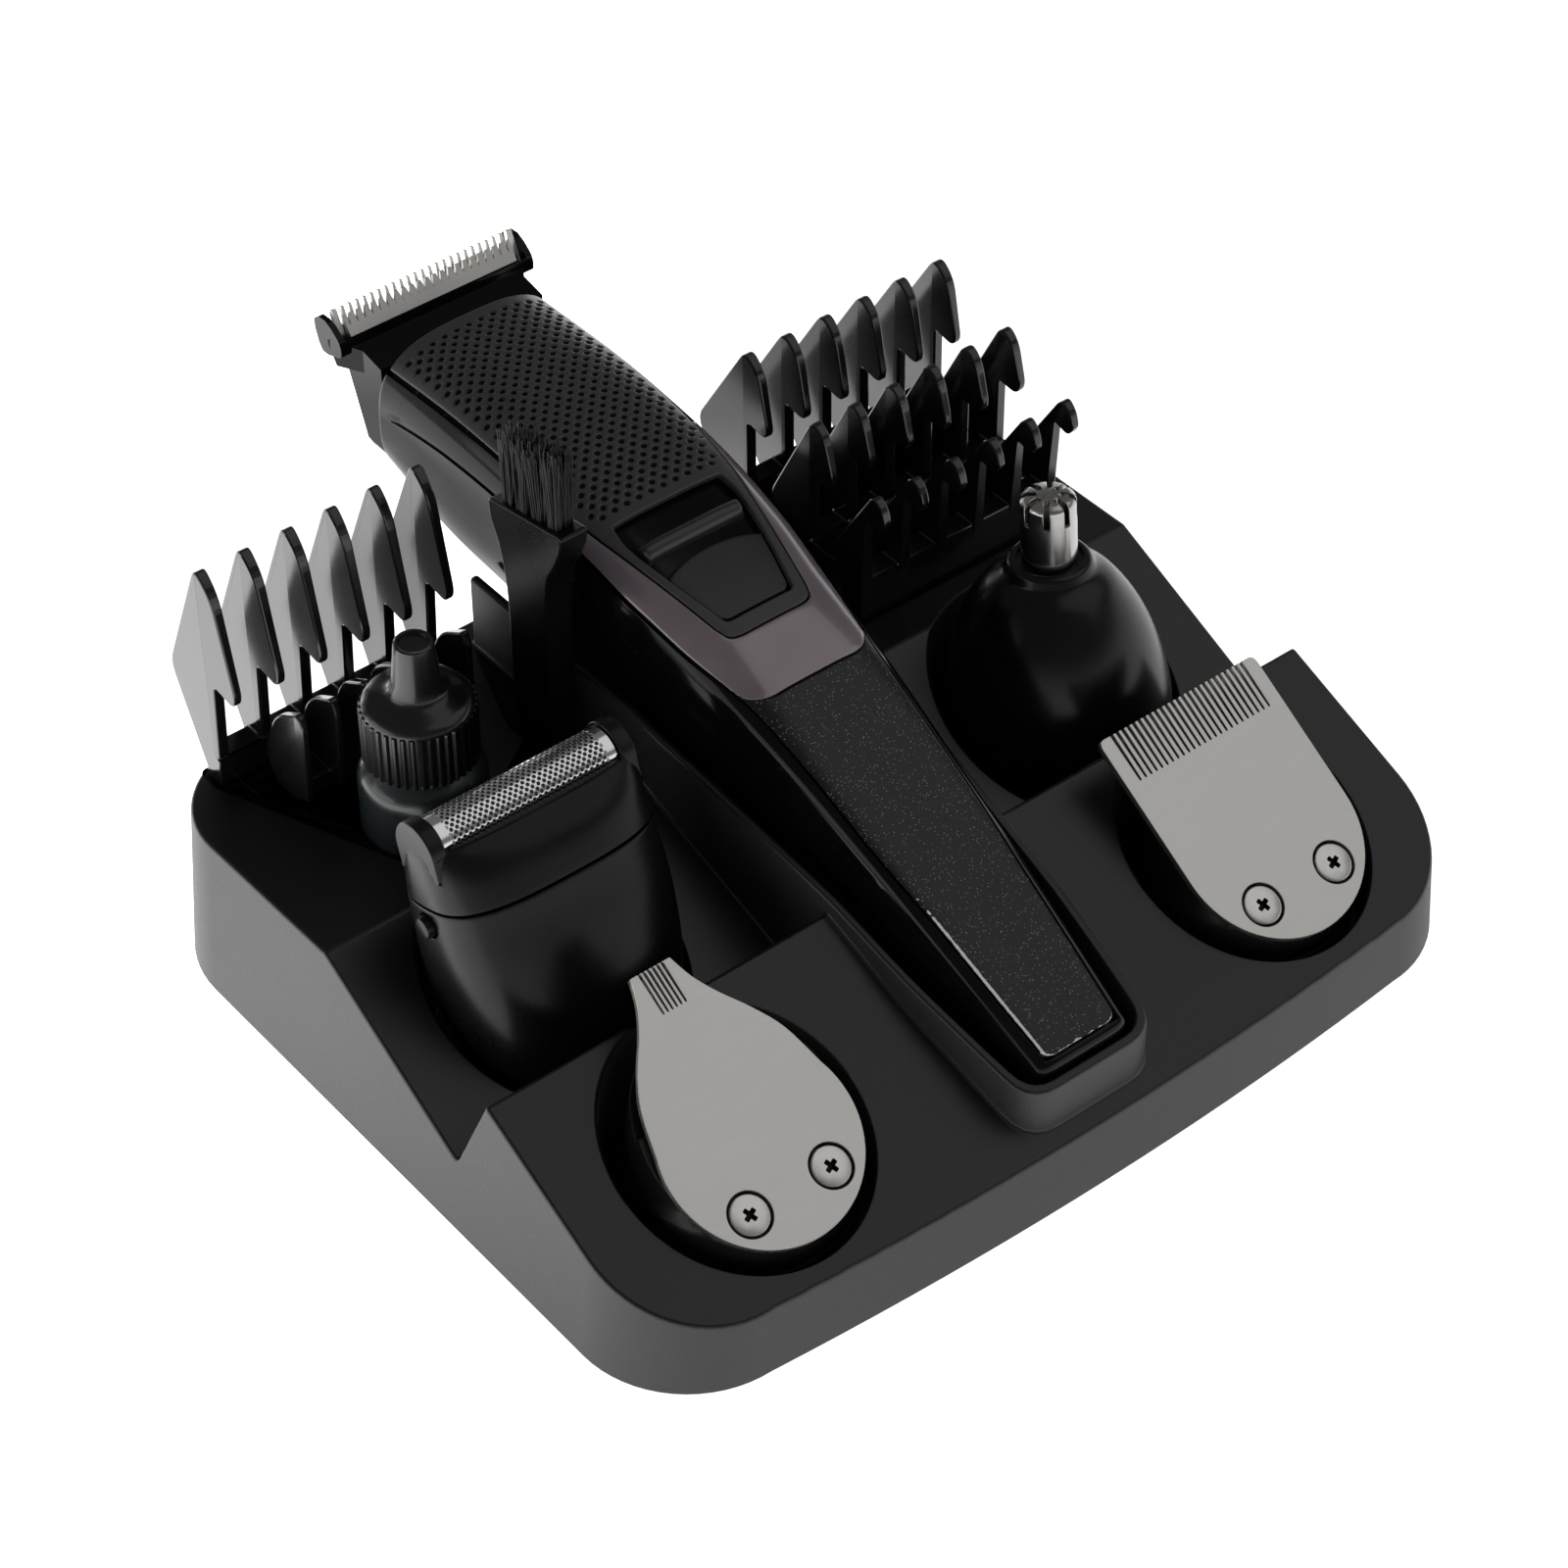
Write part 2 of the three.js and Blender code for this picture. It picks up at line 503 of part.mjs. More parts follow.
function buildInternals(parent) {
  piece('drive_motor', driveMotor(), metal(0x9a9a98, 0.35), parent);
  piece('motor_bracket', motorBracket(), SATIN_BLACK, parent);
  piece('motor_shaft', motorShaft(), STEEL, parent);
  const cell = leaningGroup(0, -1, 38.2, 17.2, parent);
  piece('battery_cell', join(postY(0, 0, 7, 0, 41), postY(0, 0, 2.6, 40, 42.2, 16)), CELL_GREEN, cell);
  const board = leaningGroup(0, 21, 54.6, 16, parent);
  piece('circuit_board', join(box(-7.5, 7.5, -12, 12, -0.8, 0.8), box(-3, 3, -4, 4, 0.6, 2),
    box(3, 5.4, -10, -6, 0.6, 1.5), box(-6.6, -3.8, 6, 11, 0.6, 1.5)), BOARD_GREEN, board);
  const socket = leaningGroup(...SOCKET, parent);
  piece('charging_socket', box(-4.1, 4.1, -2.8, 6, -2.3, 2.3).subtract(box(-3, 3, -4, 4.5, -1.4, 1.4)),
    STEEL, socket);
}

function buildClipper(parent) {
  const { upper_housing: upper, lower_housing: lower } = clipperHousings();
  piece('upper_housing', upper, GLOSS_BLACK, parent);
  piece('lower_housing', lower, GLOSS_BLACK, parent);
  const panels = clipperPanels();
  piece('grip_panel', panels.grip_panel, GRIP_GREY, parent);
  piece('switch_trim', panels.switch_trim, MAUVE_TRIM, parent);
  piece('face_panel', panels.face_panel, FLAKE_BLACK, parent);
  piece('power_switch', switchSlider(), GRIP_GREY, parent);
  buildInternals(parent);
}

// ---------- blades, shared by the three cutting heads ----------
// points of a comb-like edge from right to left: narrow V slits cut down from the tips
function slits(halfWidth, count, tip, root, width) {
  const pitch = (2 * halfWidth) / (count - 1);
  const points = [];
  for (let i = 0; i < count; i += 1) {
    const x = halfWidth - i * pitch;
    points.push([x + width / 2, tip], [x, root], [x - width / 2, tip]);
  }
  return points;
}

function arcPoints(x, y, radius, startDegrees, endDegrees, steps) {
  return Array.from({ length: steps + 1 }, (_, i) => {
    const angle = THREE.MathUtils.degToRad(startDegrees + ((endDegrees - startDegrees) * i) / steps);
    return [x + radius * Math.cos(angle), y + radius * Math.sin(angle)];
  });
}

function screw(headRadius, length) {
  const { headHeight: height, shankRadius: shank } = SCREW;
  const body = turned([[0, -length], [shank, -length], [shank, -height], [headRadius, -height],
    [headRadius, 0], [0, 0]], 14);
  const arm = headRadius * 0.36;
  const slot = box(-arm, arm, -0.35, 0.35, -0.7, 1);
  return body.subtract(slot).subtract(box(-0.35, 0.35, -arm, arm, -0.7, 1));
}

function screwPair(prefix, x, y, headRadius, length, group) {
  for (const [side, sign] of [['left', -1], ['right', 1]]) {
    piece(`${prefix}_screw_${side}`, screw(headRadius, length).translate(sign * x, y, -0.05), STEEL, group);
  }
}

// ---------- T-shaped trimming head on the clipper ----------
function tHousing(group) {
  const housingEnd = loft([0.6, 20].map((shift) => clipperSection(STATIONS.at(-1), 0.3, shift)));
  const neck = prismX([[T_HEAD.front, 41.2], [88.8, 41.4], [90.6, 43.6], [97.7, 62.2], [98.6, 66],
    [93.6, 65.4], [T_HEAD.front, 64.2]], -T_HEAD.neckHalf, T_HEAD.neckHalf)
    .intersect(join(housingEnd, box(-FAR, FAR, 80, FAR, 54, FAR)));
  const barSection = [[-7.4, 3.4, 1.8], [-0.8, 3.4, 2.2], [-0.8, -0.6, 2], [-4.6, -3.2, 0.8],
    [-7.4, -2.8, 1.2]];
  const bar = inFrame(prismX(barSection, -T_HEAD.barHalf, T_HEAD.barHalf, 2), group);
  const gussets = prismZ([[-15, 89], [15, 89], [15.6, 92], [18.8, 96.8], [-18.8, 96.8], [-15.6, 92]], 60, 66)
    .intersect(prismX([[88, 60.5], [95.8, 61.2], [97, 66], [93.6, 65.4], [88, 64.3]], -FAR, FAR));
  const plateSeat = prismZ(tPlateOutline(GAP, false), -T_PLATE.thickness - GAP, 9);
  const cutterRoom = join(box(-17.5, 17.5, -4.9, 9, -2.9, 9), box(-17.5, 17.5, -6.9, -4.8, -2.35, 9),
    box(-9.5, 9.5, -11.6, -6.8, -2.35, 9));
  const wedgeRoom = prismX([[-0.5, -8], [9, -8], [9, 0], [-4.9, 0], [-4.9, -2.9]], -17.5, 17.5);
  const yokeRoom = prismX([[86, 49.8], [90.1, 49.8], [90.1, 56.2], [93.5, 60.7], [93.3, 63.2], [86, 61]],
    -5.6, 5.6);
  const screwHoles = [-1, 1].map((sign) =>
    postZ(sign * T_PLATE.screwX, T_PLATE.screwY, SCREW.shankRadius + GAP, -4, 3, 12));
  return join(neck, bar, gussets)
    .subtract(inFrame(join(plateSeat, cutterRoom, wedgeRoom, ...screwHoles), group))
    .subtract(yokeRoom);
}

function tPlateOutline(grow, toothed) {
  const half = T_HEAD.halfWidth + grow;
  const bottom = arcPoints(0, -8.6, T_PLATE.endRadius + grow, -176, -4, 12);
  const side = [[half, -7.4 - grow, 1.5], [half, grow]];
  const teeth = toothed ? slits(T_HEAD.halfWidth - 1.4, 24, 0, -3, 0.9) : [];
  return [...bottom, ...side, ...teeth, [-half, grow], [-half, -7.4 - grow, 1.5]];
}

function buildTHead(parent) {
  const blade = leaningGroup(0, T_HEAD.y, T_HEAD.z, T_HEAD.lean, parent);
  blade.rotation.y = Math.PI;
  blade.updateMatrix();
  piece('t_head_housing', tHousing(blade), GLOSS_BLACK, parent);

  const holes = [-1, 1].map((sign) =>
    postZ(sign * T_PLATE.screwX, T_PLATE.screwY, T_PLATE.screwHole, -9, 9, 16));
  const plate = prismZ(tPlateOutline(0, true), -T_PLATE.thickness, 0, 3).subtract(join(...holes));
  piece('t_fixed_blade', plate, STEEL, blade);
  screwPair('t_blade', -T_PLATE.screwX, T_PLATE.screwY, T_PLATE.screwHead, T_PLATE.screwLength, blade);

  const half = T_HEAD.halfWidth - GAP - CRANK.throw;
  const strip = prismX([[-1.2, -1.3], [-1.2, -1.6], [-4.6, -2.6], [-5.2, -2], [-11, -2], [-11, -1.3]],
    -half, half);
  const toothedPlan = prismZ([[-8, -11], [8, -11], [8, -6.6], [half, -6.6], [half, -1.2],
    ...slits(half - 0.75, 22, -1.2, -3, 0.8), [-half, -1.2], [-half, -6.6], [-8, -6.6]], -9, 9);
  piece('t_cutter', strip.intersect(toothedPlan), STEEL, blade);

  const yoke = prismX([[88, 50.4], [89.8, 50.4], [89.8, 56.5], [92.3, 60.6], [92, 61.8], [88, 58.8]],
    -4, 4).subtract(box(-3, 3, 80, 95, 51, 57));
  piece('t_cutter_yoke', yoke, SATIN_BLACK, parent);
}

// ---------- blade heads in the front wells ----------
function wideBladeOutline() {
  return [...arcPoints(0, 8, 15.9, -180, 0, 16), [15.9, 33.4, 1.6],
    ...slits(13.2, 25, 33.4, 25.2, 0.55), [-15.9, 33.4, 1.6]];
}

function narrowBladeOutline() {
  const flare = [[14.8, 14], [12.9, 20.2], [10.2, 25], [7, 29.4], [4.8, 33.2], [3.5, 37, 0.8]];
  return [...arcPoints(0, 8, 15.7, -200, 20, 18), ...flare, ...slits(2, 6, 37, 30.2, 0.4),
    ...flare.slice().reverse().map(([x, y, r]) => [-x, y, r])];
}

function bladeHead(name, x, plateOutline, cutterOutline, parent) {
  const tilted = leaningGroup(x, PLATE.y, PLATE.z, PLATE.lean, parent);
  const seat = -PLATE.thickness - GAP;
  const holes = [-1, 1].map((sign) => postZ(sign * PLATE.screwX, 0, PLATE.screwHole, -9, 9, 18));
  const shanks = [-1, 1].map((sign) =>
    postZ(sign * PLATE.screwX, 0, SCREW.shankRadius + GAP, -SCREW.length - 1, 9, 12));
  const drum = turned([[0, DRUM.bottom], [DRUM.radius - 1, DRUM.bottom], [DRUM.radius, DRUM.bottom + 1.2],
    [DRUM.radius, 19], [DRUM.radius - 1.3, 21.5], [15, 31], [12.5, 37], [0, 39]], 24)
    .translate(x, WELL.frontY, 0);
  const clear = join(box(-FAR, FAR, -FAR, FAR, seat, FAR), box(-FAR, FAR, 17, FAR, -2.8, FAR), ...shanks);
  const socket = postZ(x, WELL.frontY, 12.5, DRUM.bottom - 1, 15, 18);
  const plate = prismZ(plateOutline, -PLATE.thickness, 0, 3).subtract(join(...holes));
  piece(`${name}_head_body`, drum.subtract(inFrame(clear, tilted)).subtract(socket), SATIN_BLACK, parent);
  piece(`${name}_fixed_blade`, plate, STEEL, tilted);
  screwPair(name, PLATE.screwX, 0, SCREW.headRadius, SCREW.length, tilted);
  piece(`${name}_cutter`, prismZ(cutterOutline, -2.4, seat), STEEL, tilted);
}

function buildBladeHeads(parent) {
  const narrowCutter = [[-7.5, 18], [7.5, 18], [7.5, 22], [2.5, 30], [2.5, 36.2],
    ...slits(1.6, 5, 36.2, 31, 0.4), [-2.5, 36.2], [-2.5, 30], [-7.5, 22]];
  const wideCutter = [[-14.4, 18], [14.4, 18], [14.4, 32.6],
    ...slits(12.9, 24, 32.6, 26, 0.6), [-14.4, 32.6]];
  bladeHead('precision', -WELL.x, narrowBladeOutline(), narrowCutter, parent);
  bladeHead('wide', WELL.x, wideBladeOutline(), wideCutter, parent);
}

// ---------- foil shaver ----------
const OVAL_POINTS = 24;

function ovalRing(halfX, halfY, squareness, z) {
  return Array.from({ length: OVAL_POINTS }, (_, i) => {
    const angle = (2 * Math.PI * i) / OVAL_POINTS;
    const [c, s] = [Math.cos(angle), Math.sin(angle)];
    return new THREE.Vector3(Math.sign(c) * Math.abs(c) ** (2 / squareness) * halfX,
      Math.sign(s) * Math.abs(s) ** (2 / squareness) * halfY, z);
  });
}
const ovalLoft = (rings) => loft(rings.map(([z, halfX, halfY, n]) => ovalRing(halfX, halfY, n, z)));

const LATCH = { z: -12, radius: 1.75, in: 17, out: 20.2 };

function shaverBody() {
  const shell = ovalLoft([[-41, 15, 13.4, 2.1], [-39, 16.4, 14.4, 2.2], [-30, 18.2, 14.8, 2.5],
    [-20, 19, 13.2, 2.8], [-9.2, 18.9, 11, 3]]);
  const inside = ovalLoft([[-43, 12.5, 11.4, 2.2], [-30, 15.8, 12.4, 2.5], [-14, 16.4, 9.8, 3]]);
  const throat = box(-14.4, 14.4, -4.2, 4.2, -20, 0);
  const latchBore = postX(0, LATCH.z, LATCH.radius + GAP, 14, 25);
  return shell.subtract(inside).subtract(throat).subtract(latchBore).subtract(latchBore.mirror([1, 0, 0]));
}

function shaverFrame() {
  const sides = ovalLoft([[-8.9, 18.9, 11, 3], [-4, 18.6, 9.6, 3], [-0.6, 18.2, 7.4, 3.2],
    [0.4, 17.9, 6.4, 3.4]]);
  const ear = (x0, x1) => join(postX(0, -0.4, 4.9, x0, x1), box(x0, x1, -4.9, 4.9, -4, -0.4));
  return join(sides, ear(-18, -15.6), ear(15.6, 18)).subtract(box(-15.6, 15.6, -4.3, 4.3, -12, 9));
}

function shaverFoil() {
  const { foilRadius: r, foilHalf: half } = SHAVER;
  const arch = [[-r, -6], ...arcPoints(0, 0, r, 180, 0, 14), [r, -6]];
  const inside = [[-r + 0.4, -7], ...arcPoints(0, 0, r - 0.4, 180, 0, 14), [r - 0.4, -7]];
  return prismX(arch.reverse(), -half, half).subtract(prismX(inside.reverse(), -half - 1, half + 1));
}

function buildShaver(parent) {
  const tilted = leaningGroup(SHAVER.x, SHAVER.y, SHAVER.z, -SHAVER.lean, parent);
  piece('shaver_body', shaverBody(), SATIN_BLACK, tilted);
  piece('shaver_foil_frame', shaverFrame(), SATIN_BLACK, tilted);
  piece('shaver_foil', shaverFoil(), CHROME, tilted);
  const block = [[-3.2, -8], [3.2, -8], ...arcPoints(0, 0, 3.2, 0, 180, 10)];
  piece('shaver_cutter', prismX(block, -13.6, 13.6), STEEL, tilted);
  const button = postX(0, LATCH.z, LATCH.radius, LATCH.in, LATCH.out);
  piece('shaver_latch_right', button, SATIN_BLACK, tilted);
  piece('shaver_latch_left', button.mirror([1, 0, 0]), SATIN_BLACK, tilted);
}

// ---------- nose trimmer ----------
function buildNoseTrimmer(parent) {
  const outside = [[17.6, -43], [18.6, -41.5], [18.6, -31], [17.6, -25], [15.8, -19], [13.4, -13.8],
    [10.3, -9.2], [7.4, -6.6], [6.7, -5.6]];
  const bell = turned([[0, -43], ...outside, [0, -5.6]], 28)
    .subtract(turned([[0, -44], [16.2, -44], [16.4, -31], [13.6, -19], [8.4, -10.5], [5, -9], [0, -9]],
      16))
    .subtract(postZ(0, 0, 3.8, -12, -4, 16));
  const tilted = leaningGroup(NOSE.x, NOSE.y, NOSE.z, -NOSE.lean, parent);
  piece('nose_head_body', bell, GLOSS_BLACK, tilted);
  piece('nose_guard_tube', noseGuard(), CHROME, tilted);
  const shaft = postZ(0, 0, 1.2, -40, 5.4, 16);
  const blade = box(-3.3, 3.3, -0.5, 0.5, -1, 5.4);
  piece('nose_rotor', join(shaft, blade), STEEL, tilted);
}

// a tube with a domed end; slits run in from its side and stop short of the middle
function noseGuard() {
  const tube = turned([[0, -5.3], [5.6, -5.3], [5.6, -4.2], [4.4, -3.4], [4.4, 5.8], [3.6, 6.8],
    [0, 7.1]], 20)
    .subtract(postZ(0, 0, 3.7, -7, 5.9, 16));
  const slots = Array.from({ length: 8 }, (_, i) => box(1.7, 9, -0.45, 0.45, 3, 9).rotate([0, 0, i * 45]));
  return tube.subtract(join(...slots));
}

// ---------- guide combs ----------
function guideComb(comb) {
  const pitch = (comb.x1 - comb.x0 - comb.thickness) / (COMB_TEETH - 1);
  const teeth = Array.from({ length: COMB_TEETH }, (_, i) => {
    const x = comb.x0 + i * pitch;
    return prismX(comb.blade, x, x + comb.thickness, 2);
  });
  return join(...teeth, combFootBox(comb, 0, COMB_SLOT_FLOOR + GAP, comb.footTop));
}

// ---------- oil bottle and cleaning brush ----------
function buildBottle(parent) {
  const { x, y } = BOTTLE_HOLE;
  const body = turned([[0, 22.4], [9, 22.4], [9.8, 23.2], [9.8, 38], [9.2, 40.4], [7.6, 42.4], [5.4, 42.5],
    [5.4, 50], [2.4, 50], [2.4, 51.4], [0, 51.4]], 24);
  piece('oil_bottle', body.translate(x, y, 0), OIL_BLUE, parent);
  const ribs = Array.from({ length: 40 }, (_, i) => {
    const angle = (2 * Math.PI * i) / 40;
    const r = i % 2 ? 8.45 : 8.85;
    return [r * Math.cos(angle), r * Math.sin(angle)];
  });
  const top = turned([[0, 52], [8.3, 52], [8.3, 53.2], [7.7, 53.8], [4.6, 54.6], [3.7, 56], [3, 64.3],
    [2.3, 64.3], [2.3, 63.6], [0, 63.6]], 20);
  const collar = join(prismZ(ribs, 42.9, 52.6), top).subtract(postZ(0, 0, 5.8, 42, 50.4, 16))
    .subtract(postZ(0, 0, 2.8, 50, 51.8, 16));
  piece('oil_bottle_cap', collar.translate(x, y, 0), SATIN_BLACK, parent);
}

function buildBrush(parent) {
  const [x0, x1] = [BRUSH_SLOT.x - 2.5, BRUSH_SLOT.x + 2.5];
  const handle = [[25.3, 75.6, 0.8], [27.5, 66], [30, 52], [30, 15.6, 2], [39.6, 15.6, 2], [39.8, 43.2],
    [41.6, 58], [43.7, 72, 0.8]];
  const tufts = [[26.6, 75.75], [42.6, 72.6], [41, 87.9], [27.3, 89.7]];
  piece('brush_handle', prismX(handle, x0, x1), SATIN_BLACK, parent);
  piece('brush_bristles', prismX(tufts, x0 + 0.6, x1 - 0.6), BRISTLE, parent);
}

// ---------- the kit ----------
const kit = new THREE.Group();
kit.position.y = ORIGIN_SHIFT_Y;
buildStand(kit);
buildClipper(kit);
buildTHead(kit);
buildBladeHeads(kit);
buildShaver(kit);
buildNoseTrimmer(kit);
for (const [name, comb] of Object.entries(COMBS)) piece(name, guideComb(comb), COMB_BLACK, kit);
buildBottle(kit);
buildBrush(kit);

export default kit;
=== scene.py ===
"""Looks of a hair clipper kit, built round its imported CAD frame.

Shapes are worked out in millimetres, with y measured from the middle of the stand, and are
turned into metres in the CAD frame when a piece is added.
"""
import math
import random

import bmesh
import bpy
import numpy as np
from mathutils import Matrix, Vector


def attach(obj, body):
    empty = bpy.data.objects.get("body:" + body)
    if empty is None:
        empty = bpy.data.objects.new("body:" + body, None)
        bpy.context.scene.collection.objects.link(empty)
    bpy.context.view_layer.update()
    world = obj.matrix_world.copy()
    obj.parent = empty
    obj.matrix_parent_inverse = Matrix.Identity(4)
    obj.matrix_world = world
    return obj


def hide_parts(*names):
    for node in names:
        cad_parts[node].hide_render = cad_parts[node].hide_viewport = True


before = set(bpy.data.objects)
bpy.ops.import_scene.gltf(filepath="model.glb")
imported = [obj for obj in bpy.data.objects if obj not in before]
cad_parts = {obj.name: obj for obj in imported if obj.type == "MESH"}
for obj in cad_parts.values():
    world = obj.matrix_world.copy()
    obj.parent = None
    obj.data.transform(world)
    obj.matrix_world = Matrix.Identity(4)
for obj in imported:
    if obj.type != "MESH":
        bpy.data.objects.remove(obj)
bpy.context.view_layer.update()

MM = 0.001
SHIFT_Y = -16.24         # from the middle of the stand to the CAD frame
GAP = 0.3
GRIP_PITCH = (2.3, 1.28)
FAR = 300.0
random.seed(11)


# ---------------------------------------------------------------- mesh helpers
def linked(name, data):
    obj = bpy.data.objects.new(name, data)
    bpy.context.scene.collection.objects.link(obj)
    return obj


def edited(obj, change):
    """Runs a change on an object's mesh, opened as a bmesh."""
    bm = bmesh.new()
    bm.from_mesh(obj.data)
    change(bm)
    bm.to_mesh(obj.data)
    bm.free()
    return obj


def new_object(name, verts, faces):
    mesh = bpy.data.meshes.new(name)
    mesh.from_pydata([tuple(map(float, v)) for v in verts], [], faces)
    mesh.validate()
    return edited(linked(name, mesh), lambda bm: bmesh.ops.recalc_face_normals(bm, faces=bm.faces))


def apply_modifiers(obj):
    graph = bpy.context.evaluated_depsgraph_get()
    mesh = bpy.data.meshes.new_from_object(obj.evaluated_get(graph))
    obj.modifiers.clear()
    obj.data = mesh
    return obj


def boolean(obj, operation, *tools):
    for tool in tools:
        modifier = obj.modifiers.new("cut", "BOOLEAN")
        modifier.operation = operation
        modifier.solver = "MANIFOLD"
        modifier.object = tool
        apply_modifiers(obj)
        bpy.data.objects.remove(tool)
    return obj


def cut(obj, *tools):
    return boolean(obj, "DIFFERENCE", *tools)


def fuse(obj, *tools):
    return boolean(obj, "UNION", *tools)


def keep(obj, *tools):
    return boolean(obj, "INTERSECT", *tools)


def ring_faces(base, count, rings):
    """The end and side faces of a body through rings of points that are numbered from base."""
    last = base + (rings - 1) * count
    faces = [list(range(base, base + count))[::-1], list(range(last, last + count))]
    for a in range(base, last, count):
        b = a + count
        faces += [[a + i, a + (i + 1) % count, b + (i + 1) % count, b + i] for i in range(count)]
    return faces


def loft(rings):
    """A closed body through rings of equally many points."""
    faces = ring_faces(0, len(rings[0]), len(rings))
    return new_object("loft", [p for ring in rings for p in ring], faces)


def rounded(points, steps=5):
    """An outline from [x, y] or [x, y, radius] points, with its corners rounded."""
    result = []
    for i, (x, y, *rest) in enumerate(points):
        radius = rest[0] if rest else 0
        corner = Vector((x, y))
        if radius == 0:
            result.append((x, y))
            continue
        ends = []
        for other in (points[i - 1], points[(i + 1) % len(points)]):
            side = Vector(other[:2]) - corner
            ends.append(corner + side.normalized() * min(radius, side.length / 2.1))
        for k in range(steps + 1):
            t = k / steps
            p = ends[0] * (1 - t) ** 2 + corner * 2 * t * (1 - t) + ends[1] * t * t
            result.append((p.x, p.y))
    return result


PLACE = {"Z": lambda a, b, h: (a, b, h), "X": lambda a, b, h: (h, a, b), "Y": lambda a, b, h: (a, h, b)}


def prism(axis, points, low, high, steps=5):
    """A prism along X from (y, z), along Y from (x, z), or along Z from (x, y) points."""
    plan = rounded(points, steps)
    return loft([[PLACE[axis](a, b, h) for a, b in plan] for h in (low, high)])


def box(x0, x1, y0, y1, z0, z1):
    return prism("Z", [(x0, y0), (x1, y0), (x1, y1), (x0, y1)], z0, z1)


def spot(radius, angle, x=0.0, y=0.0):
    return x + radius * math.cos(angle), y + radius * math.sin(angle)


def circle(x, y, radius, segments):
    return [spot(radius, 2 * math.pi * i / segments, x, y) for i in range(segments)]


def post(axis, a, b, radius, low, high, segments=64):
    return prism(axis, circle(a, b, radius, segments), low, high)


def turned(profile, segments=96):
    """A body turned about Z from (radius, z) points listed upwards; both ends lie on the axis."""
    return loft([[(*p, z) for p in circle(0, 0, r, segments)] for r, z in profile])


def smooth_profile(points, steps=6):
    """Catmull-Rom points through a turned or swept profile."""
    p = [Vector(q) for q in points]
    p = [p[0] * 2 - p[1], *p, p[-1] * 2 - p[-2]]
    result = []
    for i in range(1, len(p) - 2):
        for k in range(steps):
            t = k / steps
            q = 0.5 * (2 * p[i] + (p[i + 1] - p[i - 1]) * t
                       + (2 * p[i - 1] - 5 * p[i] + 4 * p[i + 1] - p[i + 2]) * t * t
                       + (3 * p[i] - p[i - 1] - 3 * p[i + 1] + p[i + 2]) * t ** 3)
            result.append(tuple(q))
    return [*result, tuple(p[-2])]


def placed(obj, x, y, z, lean_degrees=0.0, turn=0.0):
    """Moves a body built about a leaning local frame to its place."""
    obj.data.transform(Matrix.Translation((x, y, z)) @ Matrix.Rotation(math.radians(lean_degrees), 4, "X")
                       @ Matrix.Rotation(turn, 4, "Y"))
    return obj


def copy_of(node):
    """A node's CAD mesh as a new object, in millimetres from the middle of the stand."""
    obj = linked("copy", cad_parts[node].data.copy())
    obj.data.materials.clear()
    obj.data.transform(Matrix.Translation((0, -SHIFT_Y, 0)) @ Matrix.Scale(1 / MM, 4))
    return obj


def cleaned(obj, flat_angle=0.6, weld=0.002):
    """Welds points and dissolves edges between faces that lie in one plane."""
    def change(bm):
        bmesh.ops.remove_doubles(bm, verts=bm.verts, dist=weld)
        bmesh.ops.dissolve_limit(bm, angle_limit=math.radians(flat_angle), verts=bm.verts, edges=bm.edges)
    return edited(obj, change)


def bevelled(obj, width, segments=2, angle=40.0, clamp=False):
    modifier = obj.modifiers.new("bevel", "BEVEL")
    modifier.width = width
    modifier.segments = segments
    modifier.limit_method = "ANGLE"
    modifier.angle_limit = math.radians(angle)
    modifier.use_clamp_overlap = clamp
    modifier.miter_outer = "MITER_ARC"
    return apply_modifiers(obj)


def add(name, obj, material, body, node, smooth_angle=38.0, inner=None):
    """Finishes a body as a piece that replaces a CAD node; inner is the finish of its marked faces."""
    obj.name = obj.data.name = name
    marked = [polygon.index for polygon in obj.data.polygons if polygon.material_index == 1]
    obj.data.transform(Matrix.Scale(MM, 4) @ Matrix.Translation((0, SHIFT_Y, 0)))
    for polygon in obj.data.polygons:
        polygon.use_smooth = True
    obj.data.set_sharp_from_angle(angle=math.radians(smooth_angle))
    weighted = obj.modifiers.new("weighted", "WEIGHTED_NORMAL")
    weighted.keep_sharp = True
    weighted.weight = 80
    obj.data.materials.clear()
    obj.data.materials.append(material)
    if inner:
        obj.data.materials.append(inner)
        for index in marked:
            obj.data.polygons[index].material_index = 1
    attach(obj, body)
    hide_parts(node)


